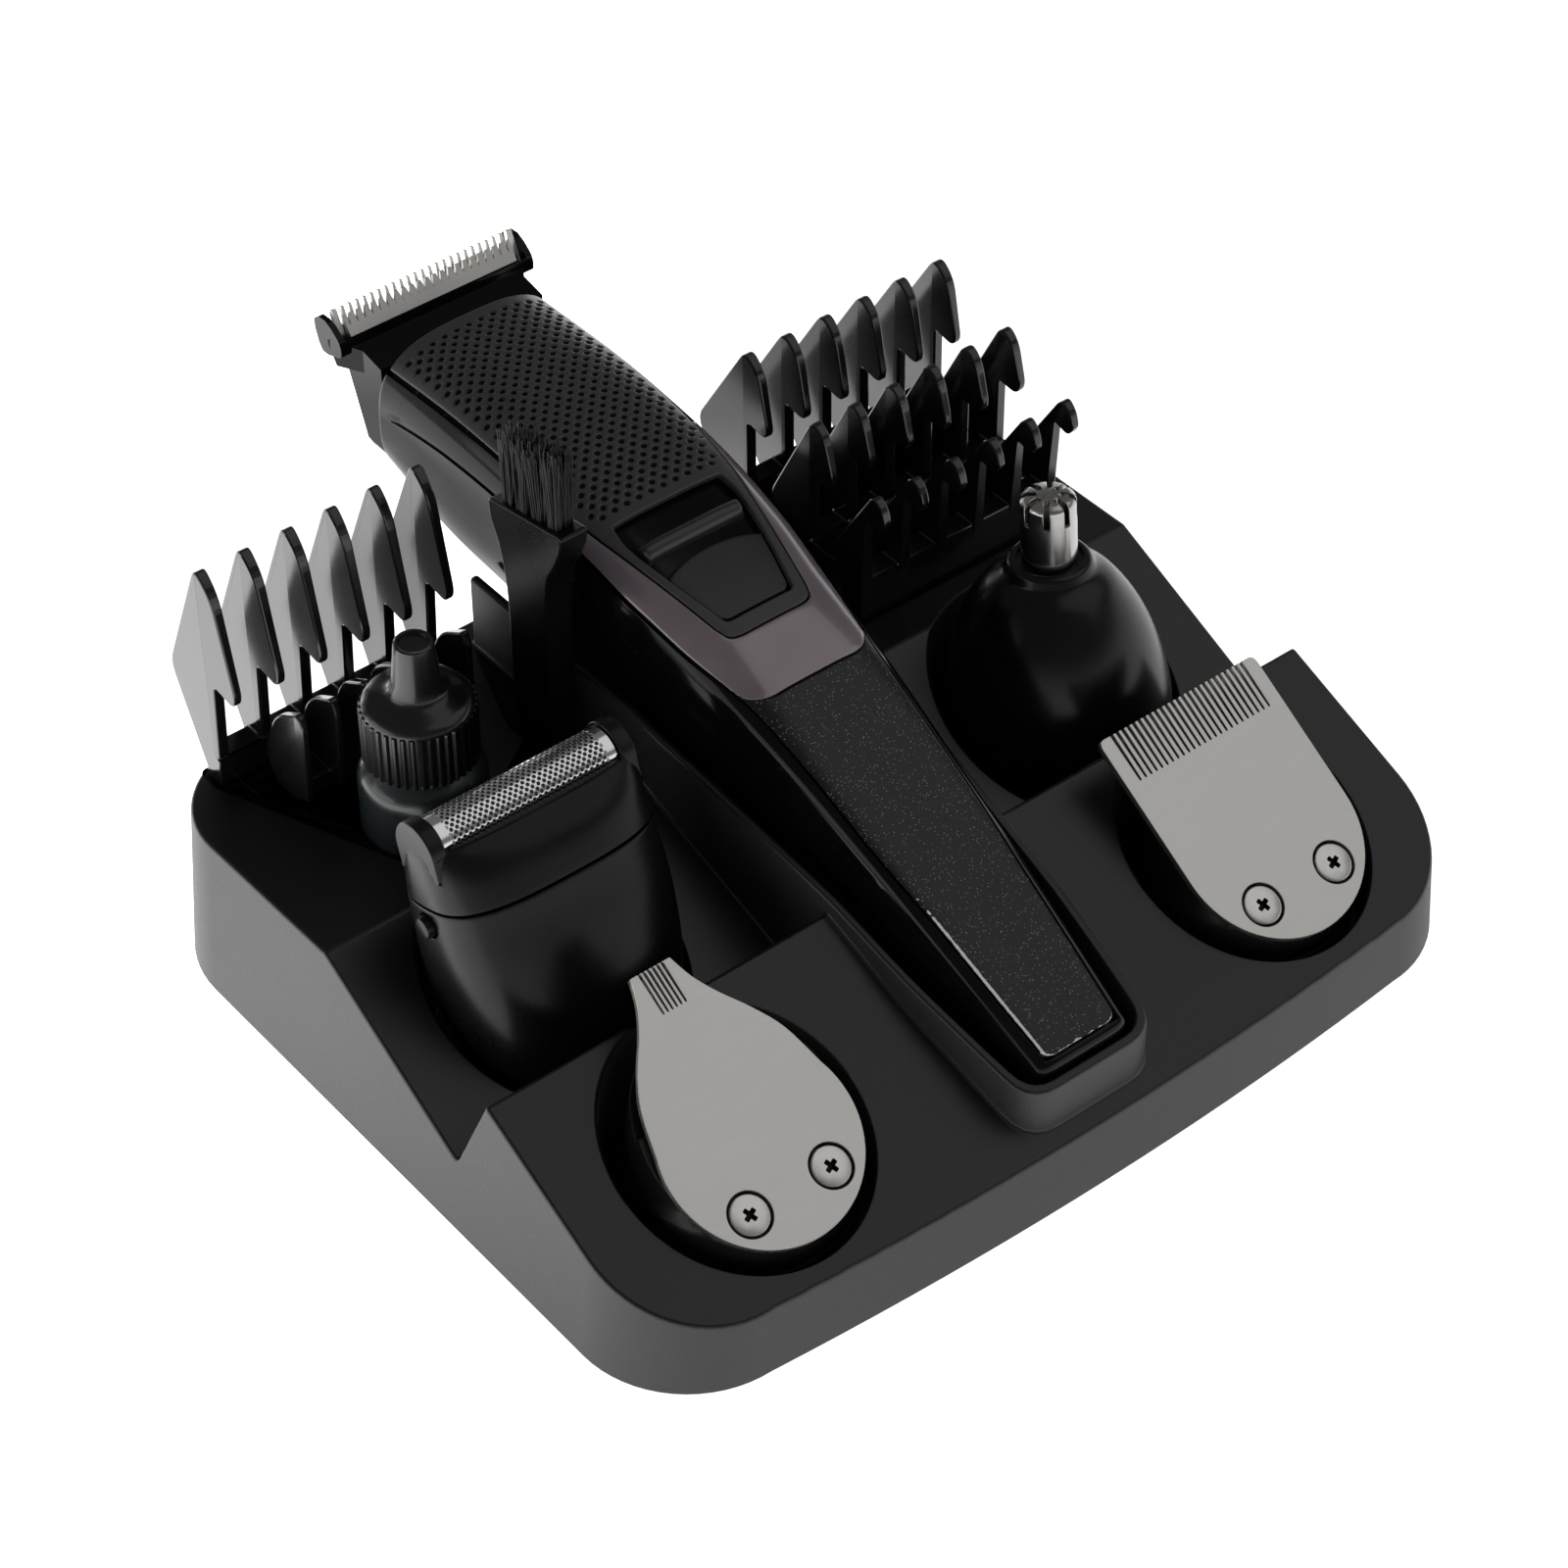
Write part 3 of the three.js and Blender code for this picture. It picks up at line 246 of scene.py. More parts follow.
# ---------------------------------------------------------------- materials
class Nodes:
    """A principled material with short calls for the procedural nodes that feed it."""

    def __init__(self, name, **constants):
        self.material = bpy.data.materials.new(name)
        self.material.use_nodes = True
        self.tree = self.material.node_tree
        self.shader = self.tree.nodes["Principled BSDF"]
        for socket, value in constants.items():
            self.shader.inputs[socket.replace("_", " ")].default_value = value
        self.place = self.tree.nodes.new("ShaderNodeTexCoord").outputs["Object"]

    def node(self, kind, inputs=(), **settings):
        made = self.tree.nodes.new("ShaderNode" + kind)
        for key, value in settings.items():
            setattr(made, key, value)
        for key, value in dict(inputs).items():
            self.set(made.inputs[key], value)
        return made

    def set(self, socket, value):
        if hasattr(value, "links"):
            self.tree.links.new(value, socket)
        else:
            socket.default_value = value

    def stretched(self, x, y, z):
        return self.node("Mapping", {"Vector": self.place, "Scale": (x, y, z)}).outputs[0]

    def noise(self, scale, detail=2.0, place=None):
        inputs = {"Vector": place or self.place, "Scale": scale, "Detail": detail}
        return self.node("TexNoise", inputs).outputs[0]

    def cells(self, scale, output="Distance"):
        return self.node("TexVoronoi", {"Vector": self.place, "Scale": scale}).outputs[output]

    def ramp(self, value, low, high, to_low=0.0, to_high=1.0):
        return self.node("MapRange", {"Value": value, "From Min": low, "From Max": high,
                                      "To Min": to_low, "To Max": to_high}).outputs[0]

    def math(self, operation, a, b=0.0):
        return self.node("Math", {0: a, 1: b}, operation=operation).outputs[0]

    def plus(self, a, b):
        return self.math("ADD", a, b)

    def times(self, a, b):
        return self.math("MULTIPLY", a, b)

    def mix(self, factor, a, b):
        made = self.node("Mix", {"Factor": factor}, data_type="RGBA")
        for socket, value in zip(made.inputs[6:8], (a, b)):
            self.set(socket, (*value, 1.0) if isinstance(value, tuple) else value)
        return made.outputs[2]

    def lattice(self, u, v, pitch_u, pitch_v):
        """Distance to the nearest point of a lattice whose odd rows are shifted by half a pitch."""
        row = self.math("FLOOR", self.plus(self.math("DIVIDE", v, pitch_v), 0.5))
        shift = self.times(self.math("MODULO", row, 2.0), 0.5)
        column = self.plus(self.math("DIVIDE", u, pitch_u), shift)
        a = self.times(self.math("SUBTRACT", self.math("FRACT", column), 0.5), pitch_u)
        b = self.math("SUBTRACT", v, self.times(row, pitch_v))
        return self.math("SQRT", self.plus(self.times(a, a), self.times(b, b)))

    def up(self):
        normal = self.node("NewGeometry").outputs["Normal"]
        return self.node("SeparateXYZ", {0: normal}).outputs[2]

    def attribute(self, name):
        return self.node("Attribute", attribute_name=name).outputs["Fac"]

    def feed(self, socket, value):
        self.tree.links.new(value, self.shader.inputs[socket])

    def bump(self, height, distance):
        """Roughens the surface by a height, and gives the finished material."""
        made = self.node("Bump", {"Height": height, "Distance": distance, "Strength": 1.0})
        self.tree.links.new(made.outputs[0], self.shader.inputs["Normal"])
        return self.material


def plastic(name, dark, light, rough, grain=2600.0, depth=0.00001, **constants):
    """Moulded plastic: slightly uneven colour and gloss, and a fine grain."""
    m = Nodes(name, **constants)
    patch = m.noise(60.0, 3.0)
    m.feed("Base Color", m.mix(m.ramp(patch, 0.35, 0.65), dark, light))
    fine = m.noise(grain, 2.0)
    m.feed("Roughness", m.plus(m.ramp(patch, 0.3, 0.7, rough - 0.04, rough + 0.04),
                               m.ramp(fine, 0.2, 0.8, -0.02, 0.02)))
    return m.bump(fine, depth)


def stand_plastic():
    """Satin on what faces up, and a matte grained finish on the walls."""
    m = Nodes("stand_plastic", Specular_IOR_Level=0.5)
    side = m.ramp(m.up(), 0.55, 0.25)
    patch = m.noise(35.0, 3.0)
    top = m.mix(patch, (0.0045, 0.0045, 0.005), (0.007, 0.007, 0.0075))
    wall = m.mix(patch, (0.026, 0.026, 0.027), (0.034, 0.034, 0.036))
    m.feed("Base Color", m.mix(side, top, wall))
    fine = m.noise(3400.0, 2.0)
    gloss = m.ramp(side, 0.0, 1.0, 0.34, 0.56)
    m.feed("Roughness", m.plus(gloss, m.ramp(fine, 0.2, 0.8, -0.04, 0.04)))
    return m.bump(m.times(fine, m.ramp(side, 0.0, 1.0, 0.15, 1.0)), 0.00006)


def grip_plastic():
    m = Nodes("grip_plastic", Specular_IOR_Level=0.5)
    distance = m.lattice(m.attribute("across"), m.attribute("along"), GRIP_PITCH[0], GRIP_PITCH[1])
    dimple_shade = m.times(m.ramp(distance, 0.56, 0.42), m.attribute("dimpled"))
    base = m.mix(m.noise(80.0), (0.036, 0.036, 0.0365), (0.046, 0.046, 0.047))
    # Painted shade: the dimples' hollows are coloured nearly black and given a lower specular level.
    m.feed("Base Color", m.mix(dimple_shade, base, (0.0012, 0.0012, 0.0012)))
    m.feed("Specular IOR Level", m.ramp(dimple_shade, 0.0, 1.0, 0.5, 0.12))
    m.feed("Roughness", m.ramp(m.noise(500.0), 0.2, 0.8, 0.36, 0.46))
    return m.bump(m.noise(2800.0), 0.00002)


def flake_plastic():
    """Black gloss with fine pale flakes, and a painted highlight: a bright line along the left edge."""
    m = Nodes("flake_plastic", Specular_IOR_Level=0.4)
    near = m.ramp(m.cells(3000.0), 0.3, 0.18)
    chosen = m.ramp(m.node("SeparateColor", {0: m.cells(3000.0, "Color")}).outputs[0], 0.66, 0.7)
    flake = m.times(near, chosen)
    base = m.mix(m.noise(70.0), (0.0055, 0.0055, 0.006), (0.008, 0.008, 0.0085))
    # Painted highlight: a pale line along the panel's left edge, with a ragged border and a rougher, raised
    # feel.
    ragged = m.ramp(m.noise(900.0, 4.0), 0.0, 1.0, -0.42, 0.42)
    highlit_edge = m.math("GREATER_THAN", m.plus(m.attribute("edge_highlight"), ragged), 0.5)
    m.feed("Base Color", m.mix(highlit_edge, m.mix(flake, base, (0.3, 0.3, 0.31)), (0.8, 0.79, 0.78)))
    m.feed("Roughness", m.ramp(highlit_edge, 0.0, 1.0, 0.3, 0.5))
    return m.bump(highlit_edge, 0.00003)


def steel(name, tint, rough=0.34, across=(120.0, 6000.0, 6000.0), depth=0.000004):
    """Ground steel, with its lines along one direction and a faint uneven tone."""
    m = Nodes(name, Metallic=1.0)
    lines = m.noise(1.0, 3.0, m.stretched(*across))
    patch = m.noise(90.0, 4.0)
    pale = tuple(min(1.0, c * 1.08) for c in tint)
    m.feed("Base Color", m.mix(m.ramp(patch, 0.3, 0.7), tint, pale))
    m.feed("Roughness", m.plus(m.ramp(patch, 0.3, 0.7, rough - 0.03, rough + 0.05),
                               m.ramp(lines, 0.2, 0.8, -0.05, 0.05)))
    return m.bump(lines, depth)


def foil_metal():
    """Polished foil with staggered rows of small holes between its plain ends; the holes are painted
    near-black, painted shade for the dark seen through them.
    """
    m = Nodes("foil_metal", Metallic=1.0)
    distance = m.lattice(m.attribute("along"), m.attribute("around"), 1.02, 0.6)
    hole = m.times(m.ramp(distance, 0.33, 0.26), m.attribute("holes"))
    # Painted shade: each hole is a near-black, rough, non-metal spot on the solid sheet.
    m.feed("Base Color", m.mix(hole, (0.82, 0.82, 0.83), (0.015, 0.015, 0.015)))
    m.feed("Metallic", m.ramp(hole, 0.0, 1.0, 1.0, 0.0))
    m.feed("Roughness", m.ramp(hole, 0.0, 1.0, 0.16, 0.6))
    return m.bump(m.math("SUBTRACT", 1.0, hole), 0.00012)


def bottle_plastic():
    m = Nodes("bottle_plastic", Coat_Weight=0.3, IOR=1.48)
    m.feed("Base Color", m.mix(m.noise(140.0, 3.0), (0.007, 0.0095, 0.011), (0.011, 0.015, 0.017)))
    m.feed("Roughness", m.ramp(m.noise(400.0), 0.2, 0.8, 0.24, 0.36))
    return m.bump(m.noise(300.0), 0.00003)


STAND_MAT = stand_plastic()
SATIN = plastic("satin_plastic", (0.003, 0.003, 0.0035), (0.0045, 0.0045, 0.005), 0.3, depth=0.000004,
                Specular_IOR_Level=0.24)
GLOSS = plastic("gloss_plastic", (0.003, 0.003, 0.0035), (0.005, 0.005, 0.0055), 0.1, depth=0.0000005,
                Specular_IOR_Level=0.16)
BELL = plastic("bell_plastic", (0.003, 0.003, 0.0035), (0.005, 0.005, 0.0055), 0.25, depth=0.000001,
               Specular_IOR_Level=0.3)
# Painted shade for the screws' cross recesses: a dark, rough plastic in place of the steel's shade.
RECESS_SHADE = plastic("recess_painted_shade", (0.004, 0.004, 0.004), (0.008, 0.008, 0.008), 0.5,
                 Specular_IOR_Level=0.2)
GRIP = grip_plastic()
FLAKE = flake_plastic()
TRIM = plastic("trim_plastic", (0.20, 0.165, 0.185), (0.25, 0.21, 0.232), 0.2, depth=0.000001,
               Metallic=0.35, Coat_Weight=0.6, Coat_Roughness=0.05)
SWITCH_MAT = plastic("switch_plastic", (0.014, 0.015, 0.015), (0.02, 0.021, 0.021), 0.3)
STEEL = steel("ground_steel", (0.60, 0.59, 0.565))
SCREW_STEEL = steel("screw_steel", (0.66, 0.65, 0.62), 0.28, (900.0, 900.0, 900.0))
CHROME = steel("chrome", (0.42, 0.41, 0.40), 0.2, (60.0, 60.0, 400.0), 0.000001)
FOIL = foil_metal()
COMB = plastic("comb_plastic", (0.006, 0.006, 0.0065), (0.009, 0.009, 0.0095), 0.17, depth=0.0000003,
               Specular_IOR_Level=0.6)
BOTTLE_MAT = bottle_plastic()
CAP = plastic("cap_plastic", (0.006, 0.006, 0.0065), (0.009, 0.009, 0.0095), 0.22)
BRISTLE = plastic("bristle_fibre", (0.006, 0.006, 0.006), (0.02, 0.02, 0.02), 0.45, grain=900.0)
RUBBER = plastic("rubber", (0.012, 0.012, 0.012), (0.02, 0.02, 0.02), 0.8, depth=0.00003)
SLEEVE = plastic("battery_sleeve", (0.03, 0.12, 0.05), (0.04, 0.15, 0.06), 0.35)
BOARD = plastic("solder_mask", (0.012, 0.09, 0.03), (0.02, 0.12, 0.045), 0.4, grain=5000.0)
SIDES = (("left", -1), ("right", 1))


# ---------------------------------------------------------------- stand
STAND = {"half_x": 80.0, "half_y": 65.5, "corner": 19.0, "draft": 0.07, "wall": 2.3, "rim": 0.6,
         "crown": 2.8, "crown_draft": 0.07}
DECK = [(-90, 2.1), (-22.7, 30.75), (-16.1, 14.7), (16.5, 30.6), (90, 29)]
TROUGH_INSIDE = [(11.3, -58), (12.1, -53), (13.7, -39), (14.5, -25), (15.7, -10), (17.1, 5), (18.4, 20),
                 (18.6, 60)]
TROUGH_RIM = [(-90, 13.9), (-22.7, 33.4), (20, 43), (90, 43)]
TROUGH_FLOOR = [(-90, -6), (-56, 8.6), (-30.3, 17.7), (-3.7, 25.8), (9.4, 28.8), (21.3, 31), (32.4, 32.1),
                (90, 33.4)]
HEAD_WELL_Y = -42.8
WELLS = [(-49, HEAD_WELL_Y, 19.6), (49, HEAD_WELL_Y, 19.6), (-49, 0, 20), (49, 0, 20)]
WELL_FLOOR = 6.5
OPEN_TOP = 72.0          # above all of the stand
BOTTLE = {"x": -49.0, "y": 31.7, "hole": 10.2, "floor": 22.0}
BRUSH_SLOT = {"x": (-27.2, -21.2), "y": (29.0, 40.5), "floor": 15.0}
FEET = [(sx * 68, sy * 54) for sx in (-1, 1) for sy in (-1, 1)]
FOOT_NAMES = ("front_left", "rear_left", "front_right", "rear_right")
COMBS = {
    "comb_longest": {
        "x": (-69, -28.7), "thickness": 1.9, "foot": (56.4, 60.4), "top": 35, "crease": 57.6,
        "blade": [(57.8, 71.6, 2.2), (54, 67.8, 2.7), (50.2, 51, 1.4), (51, 48.8, 1.2), (55.7, 49.9, 0.9),
                  (56.6, 31), (60.3, 31), (67.8, 47.2, 2.4)]},
    "comb_long": {
        "x": (29.3, 69.8), "thickness": 1.9, "foot": (52.2, 56.2), "top": 40, "crease": 53.6,
        "blade": [(53.5, 66.3, 2), (50, 63.6, 2.5), (47.8, 53.2, 1.4), (48.7, 51.8, 1.2), (52.6, 52.8, 0.9),
                  (52.4, 31), (56.2, 31), (65.6, 46.6, 2.4)]},
    "comb_medium": {
        "x": (29.3, 69.6), "thickness": 1.9, "foot": (36.6, 40.6), "top": 39, "crease": 37.2,
        "blade": [(36.9, 62.7, 2), (34, 60.8, 2.2), (31.9, 53.6, 1.4), (32.8, 51.6, 1.2), (36.9, 52.2, 0.9),
                  (36.8, 31), (40.6, 31), (47.1, 42.6, 2.4)]},
    "comb_short": {
        "x": (29.3, 69.6), "thickness": 1.9, "foot": (24.4, 28.4), "top": 38.5, "crease": 22.6,
        "blade": [(22.3, 57, 1.6), (20, 55.4, 1.5), (19.2, 52.8, 0.8), (20.4, 50.9, 0.8), (23.6, 52, 0.9),
                  (24.6, 31), (28.4, 31), (31.7, 41.6, 2.4)]},
    "comb_narrow": {
        "x": (-62, -30.6), "thickness": 1.5, "foot": (46.2, 52.6), "top": 33, "crease": 45.4,
        "blade": [(44.7, 47.9, 1.2), (43.6, 45.5, 0.6), (44, 31), (53, 31), (54.8, 34, 1.5), (51, 44, 3)]},
}
COMB_SLOT_FLOOR, COMB_SLOT_GAP = 26.0, 0.4
COMB_TEETH = 6


def below(line):
    return prism("X", [*line, (line[-1][0], -FAR), (line[0][0], -FAR)], -FAR, FAR)


def above(line):
    return prism("X", [*line, (line[-1][0], FAR), (line[0][0], FAR)], -FAR, FAR)


def raised(line, dz):
    return [(y, z + dz) for y, z in line]


def stand_ring(inset, z, steps=16):
    """The stand's outline at a height: a rounded rectangle whose front and rear edges are crowned."""
    shrink = inset + STAND["draft"] * z
    half_x, half_y, radius = (STAND[key] - shrink for key in ("half_x", "half_y", "corner"))
    crown, straight = STAND["crown"] - STAND["crown_draft"] * z, half_x - radius
    ring = []
    for sx, sy, start in ((1, 1, 0), (-1, 1, 90), (-1, -1, 180), (1, -1, 270)):
        for i in range(steps + 1):
            angle = math.radians(start + 90 * i / steps)
            ring.append((*spot(radius, angle, sx * straight, sy * (half_y - radius)), z))
        if sx == sy:
            ring += [(sx * t * straight, sy * (half_y + crown * (1 - t * t)), z)
                     for t in np.linspace(0.9, -0.9, 19)]
    return ring


def stand_block(inset, z0, z1):
    return loft([stand_ring(inset, z) for z in (z0, z1)])


def trough_plan(grow):
    """The trough's outline, with its sides eased into one smooth line."""
    sides = smooth_profile([(w + grow, y) for w, y in TROUGH_INSIDE[1:]], 3)
    front, half = -62.2 - grow, TROUGH_INSIDE[0][0] + grow - 0.5
    radius = 4 + grow
    return [(-half, front, radius), (half, front, radius), *sides, *[(-w, y) for w, y in reversed(sides)]]


def stand_holes(grow, floor_drop):
    """The wells, the bottle hole and the slots, grown by the wall that is left round them."""
    def slot(x, y, gap, floor):
        return box(x[0] - gap, x[1] + gap, y[0] - gap, y[1] + gap, floor - floor_drop, OPEN_TOP)

    holes = [post("Z", x, y, r + grow, WELL_FLOOR - floor_drop, OPEN_TOP, 128) for x, y, r in WELLS]
    x, y, hole, floor = BOTTLE.values()
    holes.append(post("Z", x, y, hole + grow, floor - floor_drop, OPEN_TOP, 96))
    holes.append(slot(BRUSH_SLOT["x"], BRUSH_SLOT["y"], grow, BRUSH_SLOT["floor"]))
    holes += [slot(comb["x"], comb["foot"], COMB_SLOT_GAP + grow, COMB_SLOT_FLOOR) for comb in COMBS.values()]
    return holes


def make_stand():
    rim = STAND["rim"]
    body = keep(stand_block(0, rim, 46), below(DECK))
    walls = keep(prism("Z", trough_plan(1.6), rim, 60), below(TROUGH_RIM))
    cut(walls, box(-FAR, FAR, 59.5, FAR, -FAR, FAR))
    fuse(body, walls)
    cut(body, *stand_holes(0, 0))
    cut(body, keep(prism("Z", trough_plan(0), -5, OPEN_TOP), above(TROUGH_FLOOR)))
    cleaned(body, 0.4, 0.05)
    bevelled(body, 0.6, 3, 24)
    hollow = keep(stand_block(STAND["wall"], -1, 46), below(raised(DECK, -2.9)))
    cut(hollow, *stand_holes(1.9, 2.0))
    cut(hollow, keep(prism("Z", trough_plan(1.6), -5, 60), above(raised(TROUGH_FLOOR, -2.3))))
    cut(hollow, *[post("Z", x, y, 6.6, -2, 14, 32) for x, y in FEET])
    cut(body, hollow)
    cut(body, *[post("Z", x, y, 5.3, -1, 1.9, 32) for x, y in FEET])
    add("stand_body", body, STAND_MAT, "stand", "stand_shell", smooth_angle=30)
    for side, (x, y) in zip(FOOT_NAMES, FEET):
        pad = turned([(0.01, 0), (4.5, 0), (4.85, 0.12), (5, 0.5), (5, 1.6), (0.01, 1.6)], 48)
        placed(pad, x, y, 0)
        add("foot_" + side, pad, RUBBER, "stand", "foot_pad_" + side)


# ---------------------------------------------------------------- camera, light and floor
CAMERA_AT = (-310.12, -375.69, 480.17)
CAMERA_TOWARD = (0.46246, 0.57105, -0.67826)
CAMERA_LENS = 101.2
HORIZON_FADE = {"From Min": 0.18, "From Max": 0.3, "To Min": 1.0, "To Max": 0.13}



def make_camera():
    camera = bpy.data.cameras.new("camera")
    camera.lens = CAMERA_LENS
    camera.sensor_width = 36.0
    camera.clip_start = 0.01
    obj = linked("camera", camera)
    x, y, z = CAMERA_AT
    obj.location = (x * MM, (y + SHIFT_Y) * MM, z * MM)
    obj.rotation_euler = Vector(CAMERA_TOWARD).to_track_quat("-Z", "Y").to_euler()
    bpy.context.scene.camera = obj


def area_light(name, toward, distance, size, power, size_y=None):
    """A soft box that shines at the object from a direction."""
    light = bpy.data.lights.new(name, "AREA")
    light.shape = "RECTANGLE"
    light.size = size
    light.size_y = size_y or size
    light.energy = power
    obj = linked(name, light)
    direction = Vector(toward).normalized()
    obj.location = direction * distance + Vector((0, 0, 0.03))
    obj.rotation_euler = (-direction).to_track_quat("-Z", "Y").to_euler()


def floor_mesh(half, steps):
    line = np.linspace(-half, half, steps + 1)
    verts = [(x, y, 0.0) for y in line for x in line]
    w = steps + 1
    faces = [[j * w + i, j * w + i + 1, (j + 1) * w + i + 1, (j + 1) * w + i]
             for j in range(steps) for i in range(steps)]
    return verts, faces


def make_surroundings():
    floor = new_object("floor", *floor_mesh(3.0, 24))
    m = Nodes("floor_paper", Roughness=0.9)
    m.feed("Base Color", m.mix(m.noise(3.0), (0.86, 0.86, 0.86), (0.89, 0.89, 0.89)))
    # The floor glows evenly at 1.0. Painted light adds more glow towards the left and back, and a painted
    # shadow leaves no added glow round a spot behind the stand, where the clipper's head would shade the
    # floor.
    x, y, _ = m.node("SeparateXYZ", {0: m.place}).outputs
    toward_left = m.math("SUBTRACT", m.times(y, 1.2), x)
    painted_shadow_distance = m.node("VectorMath", {0: m.place, 1: (-0.03, 0.115, 0.0)}, operation="DISTANCE").outputs[1]
    extra = m.times(m.ramp(toward_left, -0.03, 0.12, 0.0, 1.5), m.ramp(painted_shadow_distance, 0.03, 0.055))
    glow = m.plus(extra, 1.0)
    m.shader.inputs["Emission Color"].default_value = (1, 1, 1, 1)
    m.feed("Emission Strength", glow)
    floor.data.materials.append(m.material)
    world = bpy.data.worlds.new("studio")
    bpy.context.scene.world = world
    world.use_nodes = True
    tree = world.node_tree
    height = tree.nodes.new("ShaderNodeSeparateXYZ")
    tree.links.new(tree.nodes.new("ShaderNodeTexCoord").outputs["Generated"], height.inputs[0])
    fade = tree.nodes.new("ShaderNodeMapRange")
    for key, value in HORIZON_FADE.items():
        fade.inputs[key].default_value = value
    tree.links.new(height.outputs[2], fade.inputs[0])
    background = tree.nodes["Background"]
    background.inputs["Color"].default_value = (1, 1, 1, 1)
    tree.links.new(fade.outputs[0], background.inputs["Strength"])
    area_light("top", (0.55, -0.35, 1.0), 1.6, 1.5, 3.6)
    area_light("left", (-1.0, 0.35, 0.3), 1.5, 1.2, 3.0, 0.5)
    bpy.context.scene.view_settings.view_transform = "Standard"


# ---------------------------------------------------------------- the clipper's skin
# y, z of the top line, tilt, thickness, half-width and squareness of the upper half
STATIONS = np.array([
    [-61.4, 24.3, 24.5, 15.5, 8.9, 6], [-38, 35.6, 24.5, 18.5, 10.8, 6], [-13, 47.3, 24.5, 22.5, 13, 5],
    [0, 53, 22, 25, 14.5, 4], [13, 57.8, 18, 27, 16, 3.4], [25.4, 61.3, 14, 29, 17, 3.9],
    [40, 64.8, 10, 31, 17.5, 4], [55, 67.3, 6, 33, 17.5, 3.8], [70, 68.4, 2, 32.5, 17.5, 3.4],
    [86.4, 68.4, 0, 27.5, 17.1, 3]])
LOWER_SQUARENESS = 2.6
PANEL_EDGE = np.array([[6.7, -61], [7.7, -49], [8.5, -38], [9.7, -25], [10.3, -13], [11.3, 0], [13.6, 13],
                       [15.1, 25], [15.6, 37], [14.9, 48], [14.5, 55], [14.7, 70], [14.9, 88]])
GRIP_EDGE = np.array([[7.7, 10], [8.2, 12], [9, 16], [10.9, 25], [12.9, 35], [14, 44], [14.4, 52],
                      [14.5, 55], [14.5, 70], [14.7, 90]])
WINDOW_END = 35.2
WINDOW = np.array([[6.4, 12.8], [8.4, 20], [10, 27], [11, 33], [9.9, WINDOW_END]])
SPLIT = np.array([[-90, 0], [-58, 14.5], [-26, 26.5], [10, 35], [40, 41.5], [70, 44.5], [100, 45]])
SKIN_DEPTH = 1.6        # how far the channel under the panels is sunk
WALL = 3.2
TIP, HEAD = -61.4, 86.4
GRIP_START = 37.5
PANEL_START = -60.7


def hermite_table():
    """The stations joined by smooth curves, sampled closely."""
    s = STATIONS
    span, rise = np.diff(s[:, 0]), np.diff(s, axis=0) / np.diff(s[:, 0])[:, None]
    slope = np.vstack([rise[:1], (rise[:-1] * span[:-1, None] + rise[1:] * span[1:, None])
                       / (span[:-1] + span[1:])[:, None], rise[-1:]])
    rows = []
    for y in np.linspace(TIP - 2, HEAD + 2, 800):
        k = min(max(int(np.searchsorted(s[:, 0], y)) - 1, 0), len(span) - 1)
        h, u = span[k], (y - s[k, 0]) / span[k]
        a, b, d = slope[k] * h, slope[k + 1] * h, s[k + 1] - s[k]
        rows.append(s[k] + a * u + (3 * d - 2 * a - b) * u * u + (a + b - 2 * d) * u ** 3)
        rows[-1][0] = y
    return np.array(rows)


TABLE = hermite_table()


def station(y):
    return [np.interp(y, TABLE[:, 0], TABLE[:, c]) for c in range(1, 6)]


def across(values, edge):
    """A half-width from (half-width, y) rows, smoothed a little over y."""
    return sum(np.interp(values + d, edge[:, 1], edge[:, 0]) for d in (-2, -1, 0, 1, 2)) / 5


def skin(x, y, drop=0.0):
    """Points of the clipper's upper skin over plan points, sunk by drop."""
    x, y, drop = np.broadcast_arrays(np.asarray(x, float), np.asarray(y, float), np.asarray(drop, float))
    s = y.copy()
    for _ in range(7):
        z, tilt, thick, half, square = station(s)
        lean = np.radians(tilt)
        up = thick / 2 * (1 - np.clip(np.abs(x) / half, 0, 0.995) ** square) ** (1 / square)
        s = y - np.sin(lean) * (thick / 2 - up)
    rise = up - drop - thick / 2
    return np.stack([x, s - np.sin(lean) * rise, z + np.cos(lean) * rise], -1)


def section(s, angle, inset=0.0, shift=0.0):
    """Points of the clipper's section at a station, by angle from +X, anticlockwise to +Z."""
    angle = np.asarray(angle, float)
    z, tilt, thick, half, square = station(s)
    lean = math.radians(float(tilt))
    power = 2 / np.where(np.sin(angle) >= 0, square, LOWER_SQUARENESS)
    x = np.sign(np.cos(angle)) * np.abs(np.cos(angle)) ** power * (half - inset)
    up = np.sign(np.sin(angle)) * np.abs(np.sin(angle)) ** power * (thick / 2 - inset)
    rise = up - thick / 2
    return np.stack([x, s - math.sin(lean) * rise + math.cos(lean) * shift,
                     z + math.cos(lean) * rise + math.sin(lean) * shift], -1)


def split_angle(s, offset):
    """Where the section at a station meets the line between the housings, by bisection."""
    low, high = -1.4, 1.2
    for _ in range(26):
        mid = (low + high) / 2
        p = section(s, np.array([mid]))[0]
        if p[2] < np.interp(p[1], SPLIT[:, 0], SPLIT[:, 1]) + offset:
            low = mid
        else:
            high = mid
    return mid


def lip_angle(s):
    """Where the section at a station meets the rim of the channel under the panels."""
    _, _, _, half, square = station(s)
    y = s
    for _ in range(5):
        x = float(across(y, PANEL_EDGE)) + GAP
        angle = math.acos(min((x / float(half)) ** (float(square) / 2), 0.999))
        y = section(s, np.array([angle]))[0][1]
    return angle


